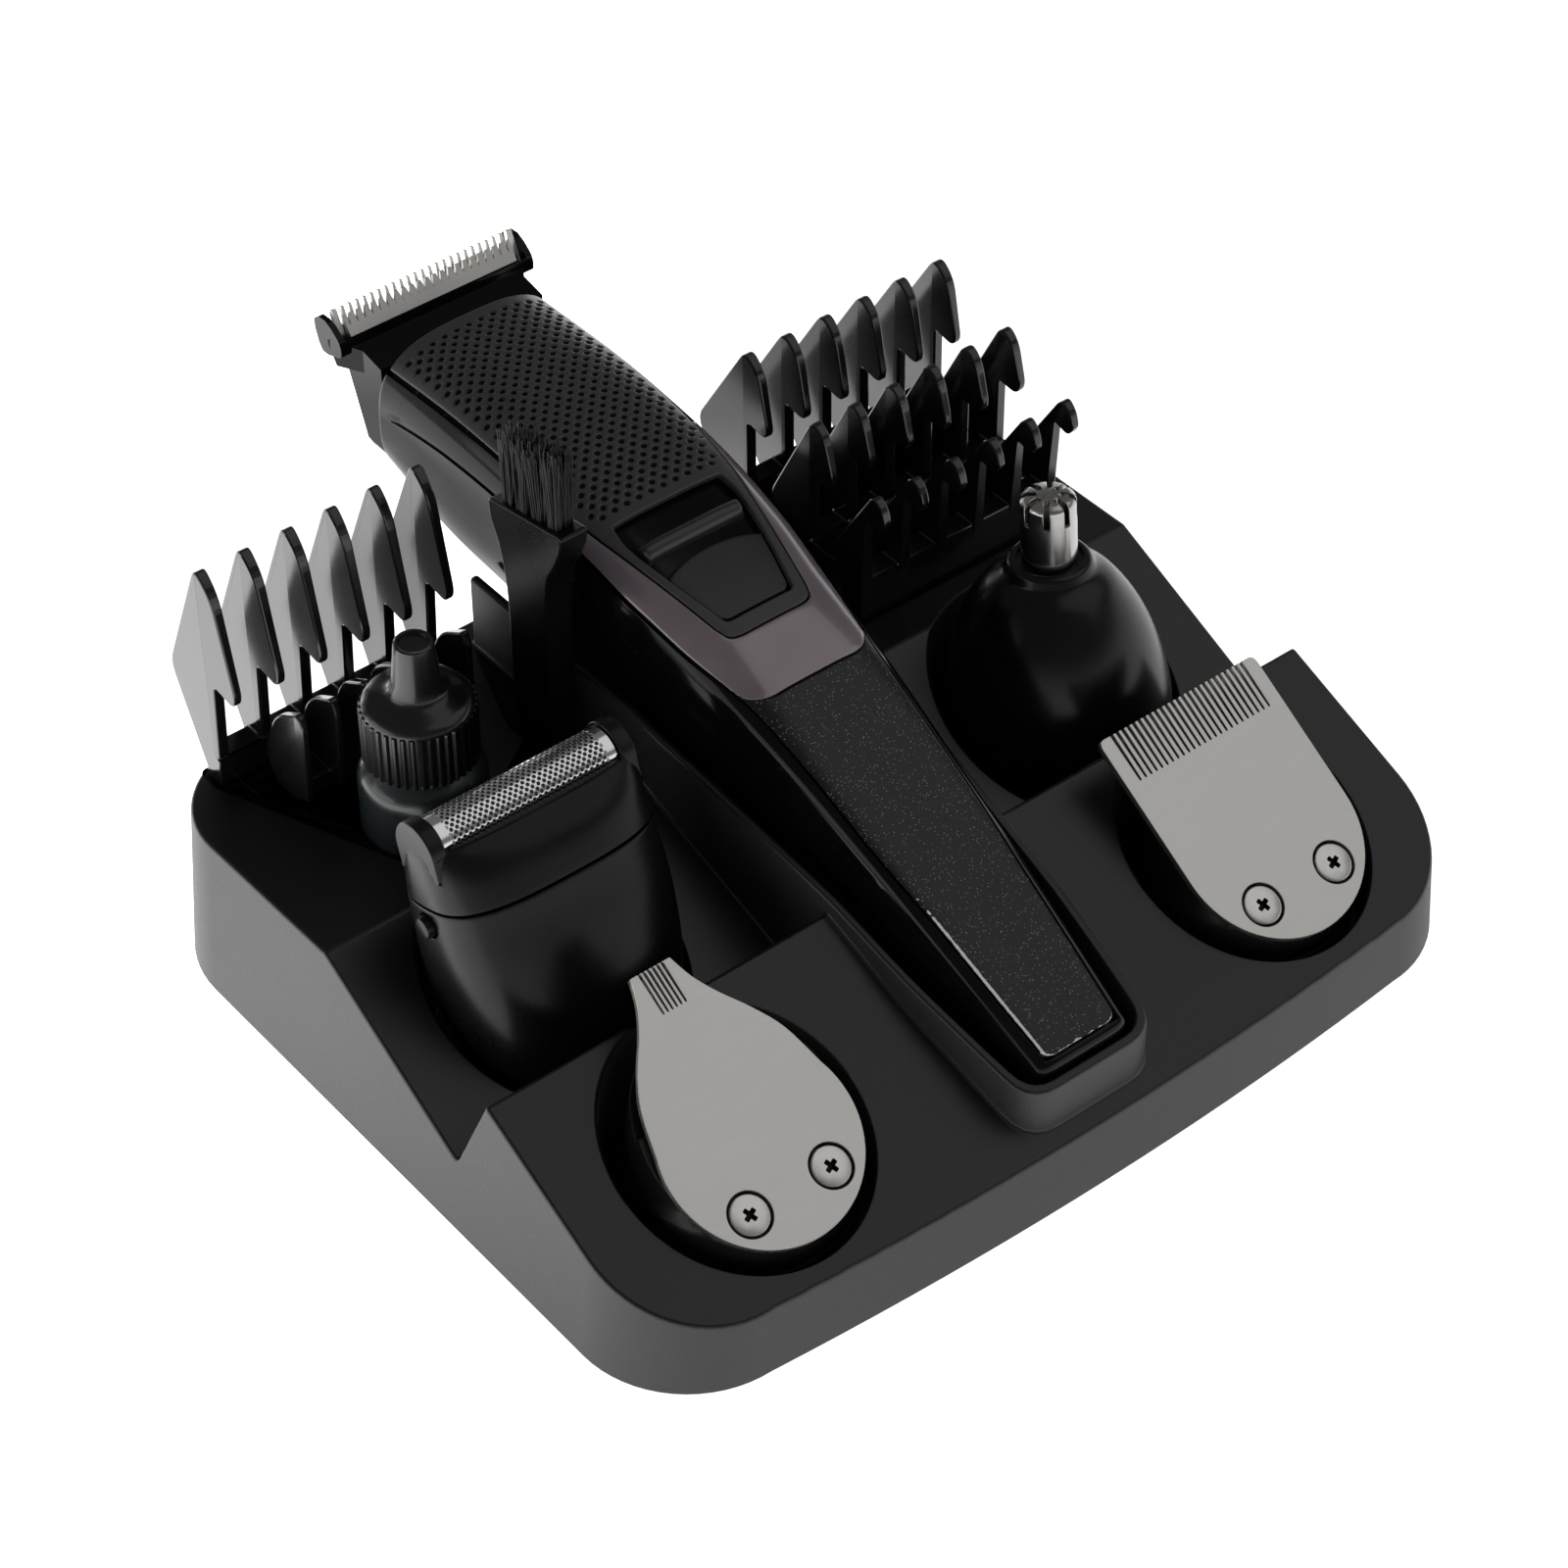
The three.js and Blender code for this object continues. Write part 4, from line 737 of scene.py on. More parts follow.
def housing_stations():
    """Stations along the housing: station, extra inset, shift past the end, channel depth, wall."""
    rows = [(TIP, 1.5, -1.3, 0, 0), (TIP, 0.8, -1.0, 0, 0), (TIP, 0.3, -0.6, 0, 0), (TIP, 0, 0, 0, 0)]
    rows += [(PANEL_START - GAP - 0.05, 0, 0, 0, 0), (PANEL_START - GAP, 0, 0, SKIN_DEPTH, 0)]
    rows += [(float(s), 0, 0, SKIN_DEPTH, 1 if s < 82 else 0) for s in np.linspace(-59.5, 86.0, 98)]
    rows += [(HEAD, 0, 0, SKIN_DEPTH, 0), (HEAD, 0.25, 0.35, SKIN_DEPTH, 0), (HEAD, 0.9, 0.55, SKIN_DEPTH, 0)]
    return rows


def mirrored_x(points):
    return points[::-1] * np.array([-1, 1, 1])


def with_inside(outer, s, angles, inset, shift, wall):
    """Closes a half ring: along its inside face where there is a wall, or straight across."""
    if wall:
        inner = section(s, np.linspace(*angles, 17), inset + WALL, shift)
    else:
        inner = np.linspace(outer[-1], outer[0], 19)[1:-1]
    return np.vstack([outer, inner])


def upper_ring(s, inset, shift, depth, wall):
    start, lip = split_angle(s, GAP / 2), lip_angle(s)
    share_up = np.array([0, 0.1, 0.2, 0.3, 0.4, 0.5, 0.57, 0.6, 0.61, 0.66, 0.67, 0.7, 0.76, 0.83, 0.91, 1])
    groove = 0.35 * np.interp(s, [14, 24], [0, 1]) * ((share_up > 0.605) & (share_up < 0.665)) * bool(wall)
    side = section(s, start + (lip - 0.03 - start) * share_up, inset + groove, shift)
    _, tilt, *_ = station(s)
    down = np.array([0, math.sin(math.radians(float(tilt))), -math.cos(math.radians(float(tilt)))])
    share = depth / SKIN_DEPTH
    rim = section(s, np.array([lip - 0.004, lip, lip]), inset, shift)
    rim = rim + down * np.array([[0.03], [0.22], [depth]]) * share
    floor = section(s, np.linspace(lip + 0.01, math.pi - lip - 0.01, 15), inset, shift) + down * depth
    half = np.vstack([side, rim])
    outer = np.vstack([half, floor, mirrored_x(half)])
    return with_inside(outer, s, (math.pi - start, start), inset, shift, wall)


def lower_ring(s, inset, shift, _, wall):
    start = split_angle(s, -GAP / 2)
    outer = section(s, np.linspace(math.pi - start, 2 * math.pi + start, 40), inset, shift)
    return with_inside(outer, s, (2 * math.pi + start, math.pi - start), inset, shift, wall)


SOCKET_AT = (0, -54.6, 17.6, 24.5)


def make_housings():
    for name, ring in (("upper_housing", upper_ring), ("lower_housing", lower_ring)):
        body = loft([ring(*row) for row in housing_stations()])
        cut(body, post("Y", 0, 54, 4.6, 80, 95, 48))
        if name == "lower_housing":
            cut(body, placed(box(-4.4, 4.4, -20, 6.3, -2.6, 2.6), *SOCKET_AT))
        add(name + "_shell", body, GLOSS, "clipper", name, smooth_angle=42)


def surface(grids, name, attributes=None):
    """An open surface from grids of points, with shared borders joined, that faces up."""
    verts, faces, base = [], [], 0
    for grid in grids:
        rows, columns = grid.shape[:2]
        verts += [tuple(p) for p in grid.reshape(-1, 3)]
        for j in range(rows - 1):
            for i in range(columns - 1):
                a = base + j * columns + i
                faces.append([a, a + 1, a + columns + 1, a + columns])
        base += rows * columns
    mesh = bpy.data.meshes.new(name)
    mesh.from_pydata(verts, [], faces)
    for key, values in (attributes or {}).items():
        layer = mesh.attributes.new(key, "FLOAT", "POINT")
        layer.data.foreach_set("value", np.concatenate([np.ravel(v) for v in values]).astype(np.float32))

    def change(bm):
        bmesh.ops.remove_doubles(bm, verts=bm.verts, dist=0.003)
        if sum(f.normal.z for f in bm.faces) <= 0:
            bmesh.ops.reverse_faces(bm, faces=bm.faces)
    return edited(linked(name, mesh), change)


def thickened(obj, width=0.22, segments=3, thickness=1.2):
    modifier = obj.modifiers.new("shell", "SOLIDIFY")
    modifier.thickness = thickness
    modifier.offset = -1
    modifier.use_even_offset = False
    apply_modifiers(obj)
    return bevelled(obj, width, segments, 50)


SEAM_FLAT, SEAM_CORNER, SEAM_RISE = 7.0, 4.95, 4.3     # the seam's flat half, its corner's width and height


def seam_y(x):
    """The seam between the face panel and the trim, which turns up at its two corners."""
    return SEAM_RISE * corner_drop(x, SEAM_FLAT, SEAM_CORNER)


def make_face_panel():
    t = np.linspace(0, 1, 110)[:, None]
    s = np.sin(np.linspace(-1, 1, 49) * math.pi / 2)[None, :]
    edge_x = s * (SEAM_FLAT + SEAM_CORNER)
    end = seam_y(edge_x) - GAP
    tip_round = 1.7 * corner_drop(s, 0.72, 0.29)
    start = PANEL_START + tip_round
    y = start + (end - start) * t
    x = s * (across(y, PANEL_EDGE) - 0.02)
    # Where the painted highlight goes: a bright strip along the panel's left edge that fades towards the
    # head, and a fainter strip across its tip end.
    edge_highlight = (np.clip(1.5 - np.abs(s + 0.962) / 0.03, 0, 1)
            * np.interp(y, [-61, -58, -42, -36, -32, 0], [0.95, 1, 0.8, 0.55, 0.3, 0.12]))
    edge_highlight = np.maximum(edge_highlight, np.clip(1 - (y - start) / 0.7, 0, 1) * 0.55)
    obj = surface([skin(x, y)], "face", {"edge_highlight": [edge_highlight + 0 * x]})
    add("face_panel_skin", thickened(obj), FLAKE, "clipper", "face_panel")


def mirrored_path(half):
    """A path from the left that ends on the middle line, carried on to the right."""
    half = np.array(half)
    return np.vstack([half, half[-2::-1] * np.array([-1, 1])])


def side_path(edge, ys, grow=0.0):
    """An edge's left half, moved outwards by grow."""
    return [(-across(y, edge) - grow, y) for y in ys]


def corner_drop(s, start, width):
    """A quarter round, from 0 at start to 1 at start + width."""
    return 1 - np.sqrt(1 - np.clip((np.abs(s) - start) / width, 0, 0.99) ** 2)


def u_path():
    """Matched points of the trim's inner and outer edges, round the U from left to right."""
    side = np.linspace(47.2, 13, 50)
    inner = side_path(GRIP_EDGE, side, GAP)
    outer = side_path(PANEL_EDGE, np.interp(side, [13, 47.2], [4.5, 47.6]), -0.02)
    inner_corner = rounded([(-8.5, 13), (-7.75, 9.7, 3.2), (0, 9.7)], 14)[1:-1]
    low = np.concatenate([inner_corner, [(x, 9.7) for x in np.linspace(-4.2, 0, 9)]])
    outer_corner = [(-(SEAM_FLAT + SEAM_CORNER * math.cos(a)), SEAM_RISE * (1 - math.sin(a)))
                    for a in np.linspace(0, math.pi / 2, len(inner_corner))]
    outer_low = [(x, 0.0) for x in np.linspace(-6.6, 0, 9)]
    return mirrored_path([*inner, *low]), mirrored_path([*outer, *outer_corner, *outer_low])


def make_trim():
    inner, outer = u_path()
    w = np.linspace(0, 1, 13)[:, None, None]
    plan = inner[None] * (1 - w) + outer[None] * w
    obj = surface([skin(plan[..., 0], plan[..., 1])], "trim")
    add("trim_skin", thickened(obj, 0.18), TRIM, "clipper", "switch_trim")


def dimple_field(x, y):
    """Depth of the grip's staggered dimples, from 0 to 1, and where there are dimples at all."""
    pitch_x, pitch_y = GRIP_PITCH
    row = np.floor((y - GRIP_START) / pitch_y + 0.5)
    column = x / pitch_x + 0.5 * np.mod(row, 2) - 0.5
    dx = (column - np.round(column)) * pitch_x
    dy = (y - GRIP_START) - row * pitch_y
    inside = (np.abs(x - dx) < across(y, GRIP_EDGE) - 1.2) & (row >= 0) & (row * pitch_y + GRIP_START < 84.2)
    field = np.clip(1.5 - (np.hypot(dx, dy) / 0.6) ** 2 * 1.5, 0, 1)
    return np.where(inside, field, 0.0), inside.astype(float)


def make_grip():
    outer = side_path(GRIP_EDGE, np.linspace(WINDOW_END, 13, 34))
    outer_corner = rounded([(-8.3, 13), (-7.5, 10, 3), (0, 10)], 12)[1:-1]
    window = side_path(WINDOW, np.linspace(WINDOW_END, 14.2, 34))
    window_corner = rounded([(-6.75, 14.2), (-6.4, 12.6, 1.6), (0, 12.6)], 12)[1:-1]
    outer = mirrored_path([*outer, *outer_corner, *[(x, 10.0) for x in np.linspace(-4, 0, 8)]])
    window = mirrored_path([*window, *window_corner, *[(x, 12.6) for x in np.linspace(-4, 0, 8)]])
    w = np.linspace(0, 1, 9)[:, None, None]
    frame_plan = outer[None] * (1 - w) + window[None] * w
    y = np.linspace(WINDOW_END, 86.2, 232)[:, None]
    inner_edge, outer_edge = across(WINDOW_END, WINDOW), across(WINDOW_END, GRIP_EDGE)
    side, middle = np.linspace(inner_edge, outer_edge, 9), np.linspace(-inner_edge, inner_edge, 94)[1:-1]
    s = np.concatenate([-side[::-1], middle, side])[None, :] / outer_edge
    x = s * across(y, GRIP_EDGE)
    depth, dimpled = dimple_field(x, y)
    grids = [skin(frame_plan[..., 0], frame_plan[..., 1]), skin(x, y, 0.3 * depth)]
    plain = np.zeros(frame_plan.shape[:2])
    obj = surface(grids, "grip", {"across": [plain, x], "along": [plain, y - GRIP_START + 0 * x],
                                  "dimpled": [plain, dimpled]})
    add("grip_skin", thickened(obj, 0.2, 2), GRIP, "clipper", "grip_panel",
        smooth_angle=60)


def make_switch():
    """The sliding switch: a flat plate, a curved step, a valley and a rounded thumb ridge."""
    y = np.concatenate([np.linspace(13.25, 20, 16), np.linspace(20.2, 31.2, 64)])[:, None]
    s = np.sin(np.linspace(-1, 1, 41) * math.pi / 2)[None, :]
    corner = 1.3 * corner_drop(s, 0.8, 0.21)
    y = y + corner * np.clip(1 - (y - 13.25) / 3, 0, 1)
    x = s * (across(y, WINDOW) - 0.5)
    step_line = 23.2 + 1.7 * (1 - s * s)
    valley = np.clip((y - step_line) / 1.1, 0, 1)
    valley = valley * valley * (3 - 2 * valley)
    ridge = np.clip(1 - ((y - 29.1) / 1.75) ** 2, 0, 1) ** 0.6
    drop = 0.75 + 1.15 * valley - 2.2 * ridge * np.clip((1 - np.abs(s)) * 12, 0, 1) * valley
    obj = surface([skin(x, y, drop)], "switch")
    add("switch_cap", thickened(obj, 0.16), SWITCH_MAT, "power_switch", "power_switch",
        smooth_angle=50)


# ---------------------------------------------------------------- blades and screws
def arc(x, y, radius, start, end, steps):
    return [spot(radius, math.radians(start + (end - start) * i / steps), x, y) for i in range(steps + 1)]


def slits(half, count, tip, root, width):
    """Narrow slots cut down from the tips, each with a rounded root, listed from right to left."""
    pitch, points = 2 * half / (count - 1), []
    for i in range(count):
        x, r = half - i * pitch, width * 0.3
        points += [(x + width / 2, tip), (x + r, root + 0.3), (x, root), (x - r, root + 0.3),
                   (x - width / 2, tip)]
    return points


def plate(outline, thickness, holes, bevel=0.12):
    body = prism("Z", outline, -thickness, 0, 6)
    cut(body, *[post("Z", x, y, r, -5, 5) for x, y, r in holes])
    return bevelled(cleaned(body, 0.3), bevel)


def screw(radius, length):
    """A pan-head screw with a cross recess, whose faces are marked for painted shade: a dark material in the
    cross.
    """
    body = turned([(0.01, -length), (1.2, -length), (1.2, -1.2), (radius - 0.1, -1.2), (radius, -1.1),
                   (radius, -0.3), (radius - 0.1, -0.1), (radius - 0.32, 0), (0.01, 0)], 64)
    arm = radius * 0.37
    for turn in (0, 1):
        slot = prism("Z", [(-arm, -0.4, 0.2), (arm, -0.4, 0.2), (arm, 0.4, 0.2), (-arm, 0.4, 0.2)], -1.1, 1)
        slot.data.transform(Matrix.Rotation(math.radians(25 + 90 * turn), 4, "Z"))
        cut(body, slot)
    for _ in range(2):
        body.data.materials.append(None)
    # The faces inside the cross recess get the second material, which paints the shade there.
    for polygon in body.data.polygons:
        low = min(body.data.vertices[v].co.z for v in polygon.vertices)
        if low > -1.15 and polygon.center.z < -0.2 and polygon.center.xy.length < arm + 0.1:
            polygon.material_index = 1
    return body


def add_screw(name, radius, length, x, y, at, body, node):
    """A screw in the plane of a blade plate, just below its face."""
    piece = screw(radius, length)
    piece.data.transform(Matrix.Translation((x, y, -0.05)))
    add(name, placed(piece, *at), SCREW_STEEL, body, node, inner=RECESS_SHADE)


PLATE = {"lean": 31.4, "y": -54.85, "z": 21.2, "thickness": 1.2, "screw_x": 7.3, "hole": 3.5}
WIDE_OUTLINE = [*arc(0, 8, 15.9, -180, 0, 48), (15.9, 33.4, 1.6), *slits(13.2, 25, 33.4, 25.2, 0.55),
                (-15.9, 33.4, 1.6)]
FLARE = smooth_profile([(14.75, 13.4), (12.9, 20.2), (10.2, 25), (7, 29.4), (4.8, 33.2), (3.5, 37)], 4)
NARROW_OUTLINE = [*arc(0, 8, 15.7, -200, 20, 56), *FLARE, *slits(2, 6, 37, 30.2, 0.4),
                  *[(-x, y) for x, y in reversed(FLARE)]]
CUTTERS = {
    "precision": [(-7.5, 18), (7.5, 18), (7.5, 22), (2.5, 30), (2.5, 36.2), *slits(1.6, 5, 36.2, 31, 0.4),
                  (-2.5, 36.2), (-2.5, 30), (-7.5, 22)],
    "wide": [(-14.4, 18), (14.4, 18), (14.4, 32.6), *slits(12.9, 24, 32.6, 26, 0.6), (-14.4, 32.6)],
}


def make_blade_head(name, x, outline):
    body_name = name + "_head"
    at = (x, PLATE["y"], PLATE["z"], PLATE["lean"])
    holes = [(sx * PLATE["screw_x"], 0, PLATE["hole"]) for sx in (-1, 1)]
    blade = placed(plate(outline, PLATE["thickness"], holes), *at)
    add(name + "_plate", blade, STEEL, body_name, name + "_fixed_blade")
    for side, sx in SIDES:
        add_screw(f"{name}_screw_{side}_cross", 3.1, 7, sx * PLATE["screw_x"], 0, at, body_name,
                  f"{name}_screw_{side}")
    cutter = bevelled(prism("Z", CUTTERS[name], -2.4, -1.5), 0.08, 1)
    add(name + "_moving_blade", placed(cutter, *at), STEEL, name + "_cutter", name + "_cutter")
    drum = turned([(0.01, 7), (16.4, 7), (17.1, 7.3), (17.5, 8.2), (17.5, 11.2), (17.1, 11.5), (17.1, 12.3),
                   (17.5, 12.6), (17.5, 19), (17.2, 20.4), (16.3, 21.8), (15, 31), (12.5, 37), (0.01, 39)])
    placed(drum, x, HEAD_WELL_Y, 0)
    holders = [post("Z", sx * PLATE["screw_x"], 0, 1.5, -8, 9, 24) for sx in (-1, 1)]
    cut(drum, *[placed(tool, *at) for tool in (box(-FAR, FAR, -FAR, FAR, -1.5, FAR),
                                                 box(-FAR, FAR, 17, FAR, -2.8, FAR), *holders)])
    cut(drum, post("Z", x, HEAD_WELL_Y, 12.5, 6, 15))
    add(name + "_drum", bevelled(cleaned(drum, 0.3), 0.2), SATIN, body_name,
        name + "_head_body")


# ---------------------------------------------------------------- trimming head on the clipper
T_AT = (0, 98.3, 70.2, 71, math.pi)
T_SCREW = (7.6, -13.0, 2.6)       # x, y and the radius of its hole
T_OUTLINE = [*arc(0, -8.6, 12.2, -176, -4, 48), (17.3, -7.4, 1.5), (17.3, 0), *slits(15.9, 24, 0, -3, 0.9),
             (-17.3, 0), (-17.3, -7.4, 1.5)]


def make_t_head():
    body = bevelled(cleaned(copy_of("t_head_housing"), 1.0), 0.35, 3, 30, clamp=True)
    add("t_head_shell", body, GLOSS, "t_head", "t_head_housing", smooth_angle=50)
    x, y, hole = T_SCREW
    blade = plate(T_OUTLINE, 1.0, [(sx * x, y, hole) for sx in (-1, 1)], 0.1)
    add("t_plate", placed(blade, *T_AT), STEEL, "t_head", "t_fixed_blade")
    for side, sx in SIDES:
        add_screw(f"t_screw_{side}", 2.3, 3.6, -sx * x, y, T_AT, "t_head", f"t_blade_screw_{side}")


# ---------------------------------------------------------------- foil shaver
SHAVER_AT = (-49, 7.3, 51.3, -17)


def oval(half_x, half_y, square, z, segments=96):
    return [(math.copysign(abs(c) ** (2 / square), c) * half_x,
             math.copysign(abs(s) ** (2 / square), s) * half_y, z) for c, s in circle(0, 0, 1, segments)]


def oval_loft(rows, steps=6):
    """A body through ovals, from rows of z, half-widths in x and y, and squareness."""
    return loft([oval(hx, hy, n, z) for z, hx, hy, n in smooth_profile(rows, steps)])


def make_shaver():
    body = oval_loft([(-41, 15, 13.4, 2.1), (-39, 16.4, 14.4, 2.2), (-30, 18.2, 14.8, 2.5),
                      (-20, 19, 13.2, 2.8), (-13, 18.97, 11.7, 2.9), (-9.2, 18.9, 11, 3)])
    cut(body, oval_loft([(-43, 12.5, 11.4, 2.2), (-30, 15.8, 12.4, 2.5), (-14, 16.4, 9.8, 3)], 3),
        box(-14.4, 14.4, -4.2, 4.2, -20, 2),
        *[post("X", 0, -12, 2.05, *ends) for ends in ((-25, -14), (14, 25))])
    body = bevelled(body, 0.22)
    add("shaver_shell", placed(body, *SHAVER_AT), SATIN, "shaver_head", "shaver_body")
    sides = oval_loft([(-8.9, 18.9, 11, 3), (-4, 18.6, 9.6, 3), (-1.4, 18.35, 8.1, 3.1),
                       (-0.2, 18.05, 6.9, 3.3), (0.4, 17.6, 6.2, 3.4)], 4)
    for x0, x1 in ((-18.1, -15.6), (15.6, 18.1)):
        fuse(sides, post("X", 0, -0.4, 4.9, x0, x1), box(x0, x1, -4.9, 4.9, -4, -0.4))
    cut(sides, box(-15.6, 15.6, -4.3, 4.3, -12, 9))
    sides = bevelled(cleaned(sides, 0.3), 0.3, 3)
    add("shaver_frame", placed(sides, *SHAVER_AT), SATIN, "shaver_head", "shaver_foil_frame")
    # the foil: an arched sheet with its own coordinates for the rows of holes
    ring = [(4, -6), (4, -3), *arc(0, 0, 4, 0, 180, 32), (-4, -3), (-4, -6)]
    along = np.linspace(-15.4, 15.4, 63)
    lengths = np.concatenate([[0], np.cumsum([math.dist(a, b) for a, b in zip(ring, ring[1:])])])
    grid = np.array([[(x, y, z) for y, z in ring] for x in along])
    u = np.broadcast_to(along[:, None], grid.shape[:2])
    v = np.broadcast_to(lengths[None, :], grid.shape[:2])
    holes = np.broadcast_to((np.abs(along) < 13.6)[:, None], grid.shape[:2]).astype(float)
    obj = surface([grid], "foil", {"along": [u], "around": [v + 0.1], "holes": [holes]})
    obj = thickened(obj, 0.08, 1, 0.35)
    add("shaver_mesh_foil", placed(obj, *SHAVER_AT), FOIL, "shaver_head", "shaver_foil")
    for side, sx in SIDES:
        button = turned([(0.01, 17), (1.75, 17), (1.75, 19.7), (1.55, 20.05), (1.1, 20.2), (0.01, 20.2)], 48)
        button.data.transform(Matrix.Translation((0, 0, -12)) @ Matrix.Rotation(math.pi / 2 * sx, 4, "Y"))
        add(f"shaver_button_{side}", placed(button, *SHAVER_AT), SATIN, f"shaver_latch_{side}",
            f"shaver_latch_{side}")


# ---------------------------------------------------------------- nose trimmer
NOSE_AT = (49, 3.5, 52, -5.4)


def make_nose_trimmer():
    outside = smooth_profile([(18.6, -41.5), (18.6, -31), (17.6, -25), (15.8, -19), (13.4, -13.8),
                              (10.3, -9.2), (7.4, -6.6)])
    bell = turned([(0.01, -43), (17.6, -43), (18.3, -42.6), *outside, (7.0, -6.1), (6.7, -5.2), (6.3, -4.7),
                   (5.7, -4.5), (5.3, -4.6), (5.1, -5.2), (0.01, -5.25)], 128)
    inside = turned([(0.01, -44), (16.2, -44), (16.4, -31), (13.6, -19), (8.4, -10.5), (5, -9), (0.01, -9)])
    cut(bell, inside, post("Z", 0, 0, 3.8, -12, -4, 48))
    add("nose_bell", placed(bell, *NOSE_AT), BELL, "nose_head", "nose_head_body")
    tube = turned([(0.01, -5.2), (4.4, -5.2), (4.4, 5.7), (4.3, 6.1), (3.9, 6.6), (3.2, 6.95), (0.01, 7.1)])
    cut(tube, post("Z", 0, 0, 3.7, -7, 5.9))
    for i in range(8):
        slot = prism("Z", [(1.7, -0.5, 0.4), (9, -0.5), (9, 0.5), (1.7, 0.5, 0.4)], 3, 9)
        slot.data.transform(Matrix.Rotation(math.radians(45 * i), 4, "Z"))
        cut(tube, slot)
    tube = bevelled(tube, 0.08, 1, 45)
    add("nose_tube", placed(tube, *NOSE_AT), CHROME, "nose_head", "nose_guard_tube")


# ---------------------------------------------------------------- combs, bottle and brush
def comb_tooth(blade, x, thickness, crease):
    """A tooth whose front part thins towards its edge, from a crease that runs down its sides."""
    def change(bm):
        bmesh.ops.bisect_plane(bm, geom=[*bm.verts, *bm.edges, *bm.faces], plane_co=(0, crease, 0),
                               plane_no=(0, 1, 0))
        front, middle = min(v.co.y for v in bm.verts), x + thickness / 2
        for v in bm.verts:
            thin = 1 - 0.28 * max(0.0, (crease - v.co.y) / (crease - front))
            v.co.x = middle + (v.co.x - middle) * thin
    return edited(prism("X", blade, x, x + thickness, 6), change)


def make_combs():
    for name, comb in COMBS.items():
        x0, x1 = comb["x"]
        pitch = (x1 - x0 - comb["thickness"]) / (COMB_TEETH - 1)
        (y0, y1), top = comb["foot"], comb["top"]
        body = box(x0, x1, y0, y1, COMB_SLOT_FLOOR + GAP, top)
        fuse(body, *[comb_tooth(comb["blade"], x0 + i * pitch, comb["thickness"], comb["crease"])
                     for i in range(COMB_TEETH)])
        body = bevelled(cleaned(body, 0.5), 0.28, 2, 35)
        add(name + "_teeth", body, COMB, name, name, smooth_angle=1.8)


def make_bottle():
    x, y, *_ = BOTTLE.values()
    body = turned([(0.01, 22.4), (8.6, 22.4), (9.4, 22.7), (9.8, 23.5), *smooth_profile(
        [(9.8, 37), (9.75, 39), (9.2, 40.6), (7.6, 42.3)], 5), (5.4, 42.5), (5.4, 50), (2.4, 50.05),
        (2.4, 51.4), (0.01, 51.4)])
    add("bottle_body", placed(body, x, y, 0), BOTTLE_MAT, "oil_bottle", "oil_bottle")
    ribs = [(8.45, 8.85, 8.85, 8.45)[i % 4] for i in range(160)]
    ring = [spot(r, 2 * math.pi * i / len(ribs)) for i, r in enumerate(ribs)]
    ends = ((42.9, 0.985), (43.2, 1), (52.2, 1), (52.5, 0.99))
    collar = loft([[(a * k, b * k, z) for a, b in ring] for z, k in ends])
    crown = turned([(0.01, 51.9), (8.3, 51.9), (8.45, 52.3), (8.3, 53), (7.7, 53.7), *smooth_profile(
        [(6.9, 54), (4.7, 54.9), (3.9, 56.2), (3.55, 58.5), (3.05, 63.6)], 5), (2.95, 64.1), (2.7, 64.3),
        (2.35, 64.2), (2.2, 63.7), (0.01, 63.6)])
    fuse(collar, crown)
    cut(collar, post("Z", 0, 0, 5.8, 42, 50.4, 48), post("Z", 0, 0, 2.8, 50, 51.8, 48))
    add("bottle_cap", placed(collar, x, y, 0), CAP, "oil_bottle_cap", "oil_bottle_cap",
        smooth_angle=30)


def fibre(start, end, bend, radius, sides=5, steps=5):
    """One bristle: a thin bent rod, narrower at its tip, as rings of points."""
    rings = []
    for k in range(steps + 1):
        t = k / steps
        p = start.lerp(end, t) + bend * (t * t)
        r = radius * (1 - 0.35 * t)
        rings.append([(*q, p.z) for q in circle(p.x, p.y, r, sides)])
    return rings


TUFTS = ((27.5, 29.7), (31.3, 33.5), (35.1, 37.3), (38.9, 41.1))     # their ends along y
FIBRES_PER_TUFT, FIBRE_RADIUS = 120, 0.15


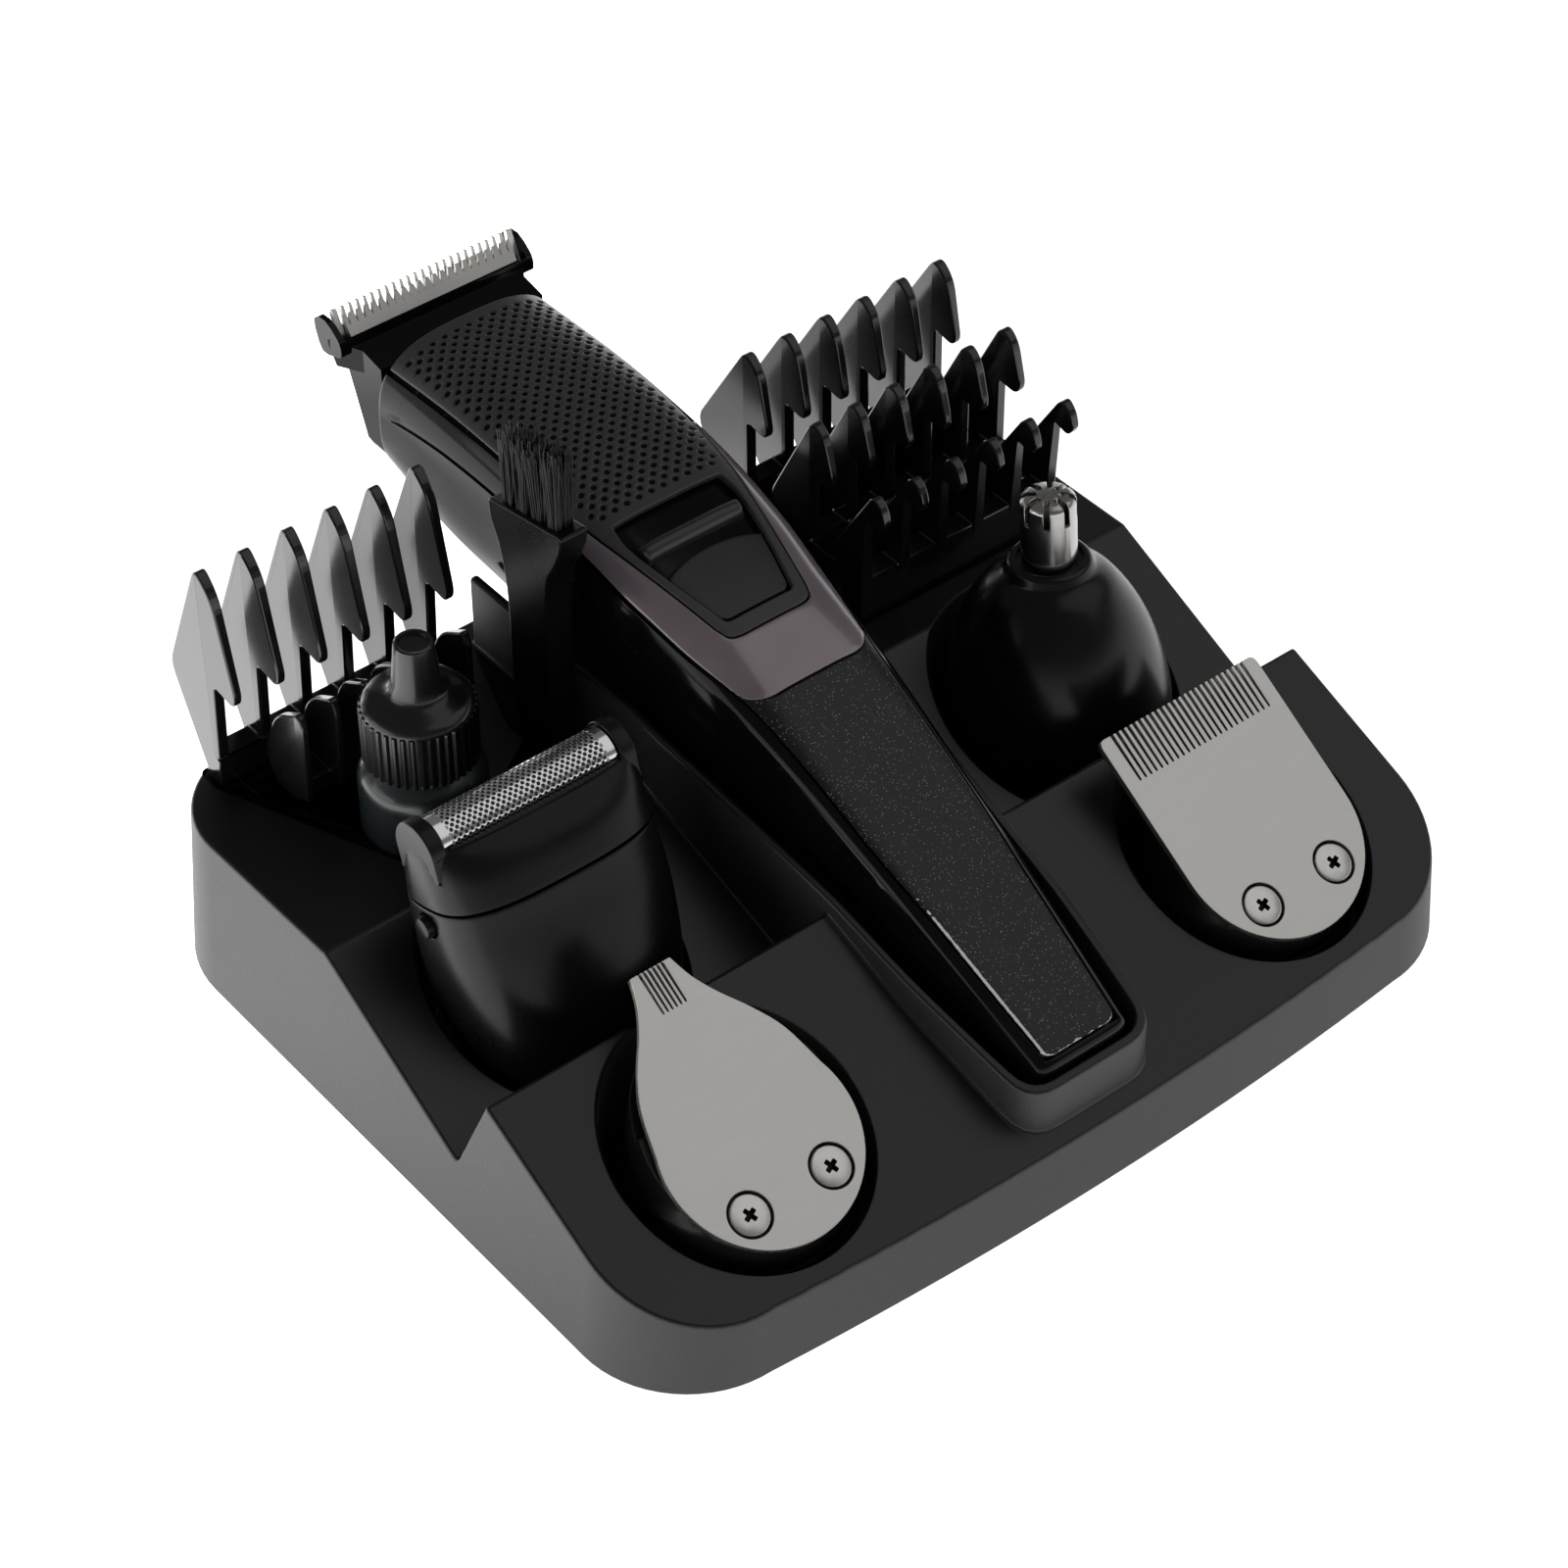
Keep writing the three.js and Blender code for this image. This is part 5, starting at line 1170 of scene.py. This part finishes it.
def make_brush():
    x0, x1 = -26.7, -21.7
    front = smooth_profile([(25.6, 72.8), (27.2, 69), (29.2, 65), (29.9, 58), (30, 51)], 4)
    rear = smooth_profile([(39.6, 43.2), (39.7, 52), (40.2, 59), (41.4, 64.5), (43.2, 68.5)], 4)
    handle_plan = [(25.3, 75.6, 0.8), *front, (30, 15.6, 2), (39.6, 15.6, 2), *rear, (43.7, 72, 0.8)]
    handle = bevelled(prism("X", handle_plan, x0, x1), 0.45, 3)
    add("brush_grip", handle, SATIN, "brush", "brush_handle")
    verts, faces = [], []
    for y0, y1 in TUFTS:
        for _ in range(FIBRES_PER_TUFT):
            y, x = random.uniform(y0, y1), random.uniform(x0 + 0.9, x1 - 0.9)
            middle = (y0 + y1) / 2
            start_z = 75.6 - (y - 25.3) * 0.195 - 0.8
            length = random.uniform(11.6, 14.6)
            lean = (y - middle) * 0.25 + (middle - 34.5) * -0.06 + random.uniform(-0.5, 0.5)
            end = Vector((x + random.uniform(-0.7, 0.7), y + lean, min(start_z + length, 89.4)))
            bend = Vector((random.uniform(-0.6, 0.6), random.uniform(-0.8, 0.8), 0))
            rings = fibre(Vector((x, y, start_z)), end, bend, FIBRE_RADIUS)
            faces += ring_faces(len(verts), len(rings[0]), len(rings))
            verts += [p for ring in rings for p in ring]
    mesh = bpy.data.meshes.new("fibres")
    mesh.from_pydata(verts, [], faces)
    add("brush_fibres", linked("fibres", mesh), BRISTLE, "brush", "brush_bristles", smooth_angle=80)


CARRIED = {
    STEEL: ("drive_motor", "motor_shaft", "charging_socket", "t_cutter", "shaver_cutter", "nose_rotor"),
    SATIN: ("motor_bracket", "t_cutter_yoke"), SLEEVE: ("battery_cell",), BOARD: ("circuit_board",),
}


def dress_carried_nodes():
    """Procedural materials for the CAD nodes that stay, most of them inside the clipper."""
    for material, nodes in CARRIED.items():
        for node in nodes:
            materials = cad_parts[node].data.materials
            materials.clear()
            materials.append(material)


# ---------------------------------------------------------------- the scene
make_camera()
make_stand()
make_housings()
make_face_panel()
make_trim()
make_grip()
make_switch()
make_t_head()
make_blade_head("precision", -49, NARROW_OUTLINE)
make_blade_head("wide", 49, WIDE_OUTLINE)
make_shaver()
make_nose_trimmer()
make_combs()
make_bottle()
make_brush()
dress_carried_nodes()
make_surroundings()
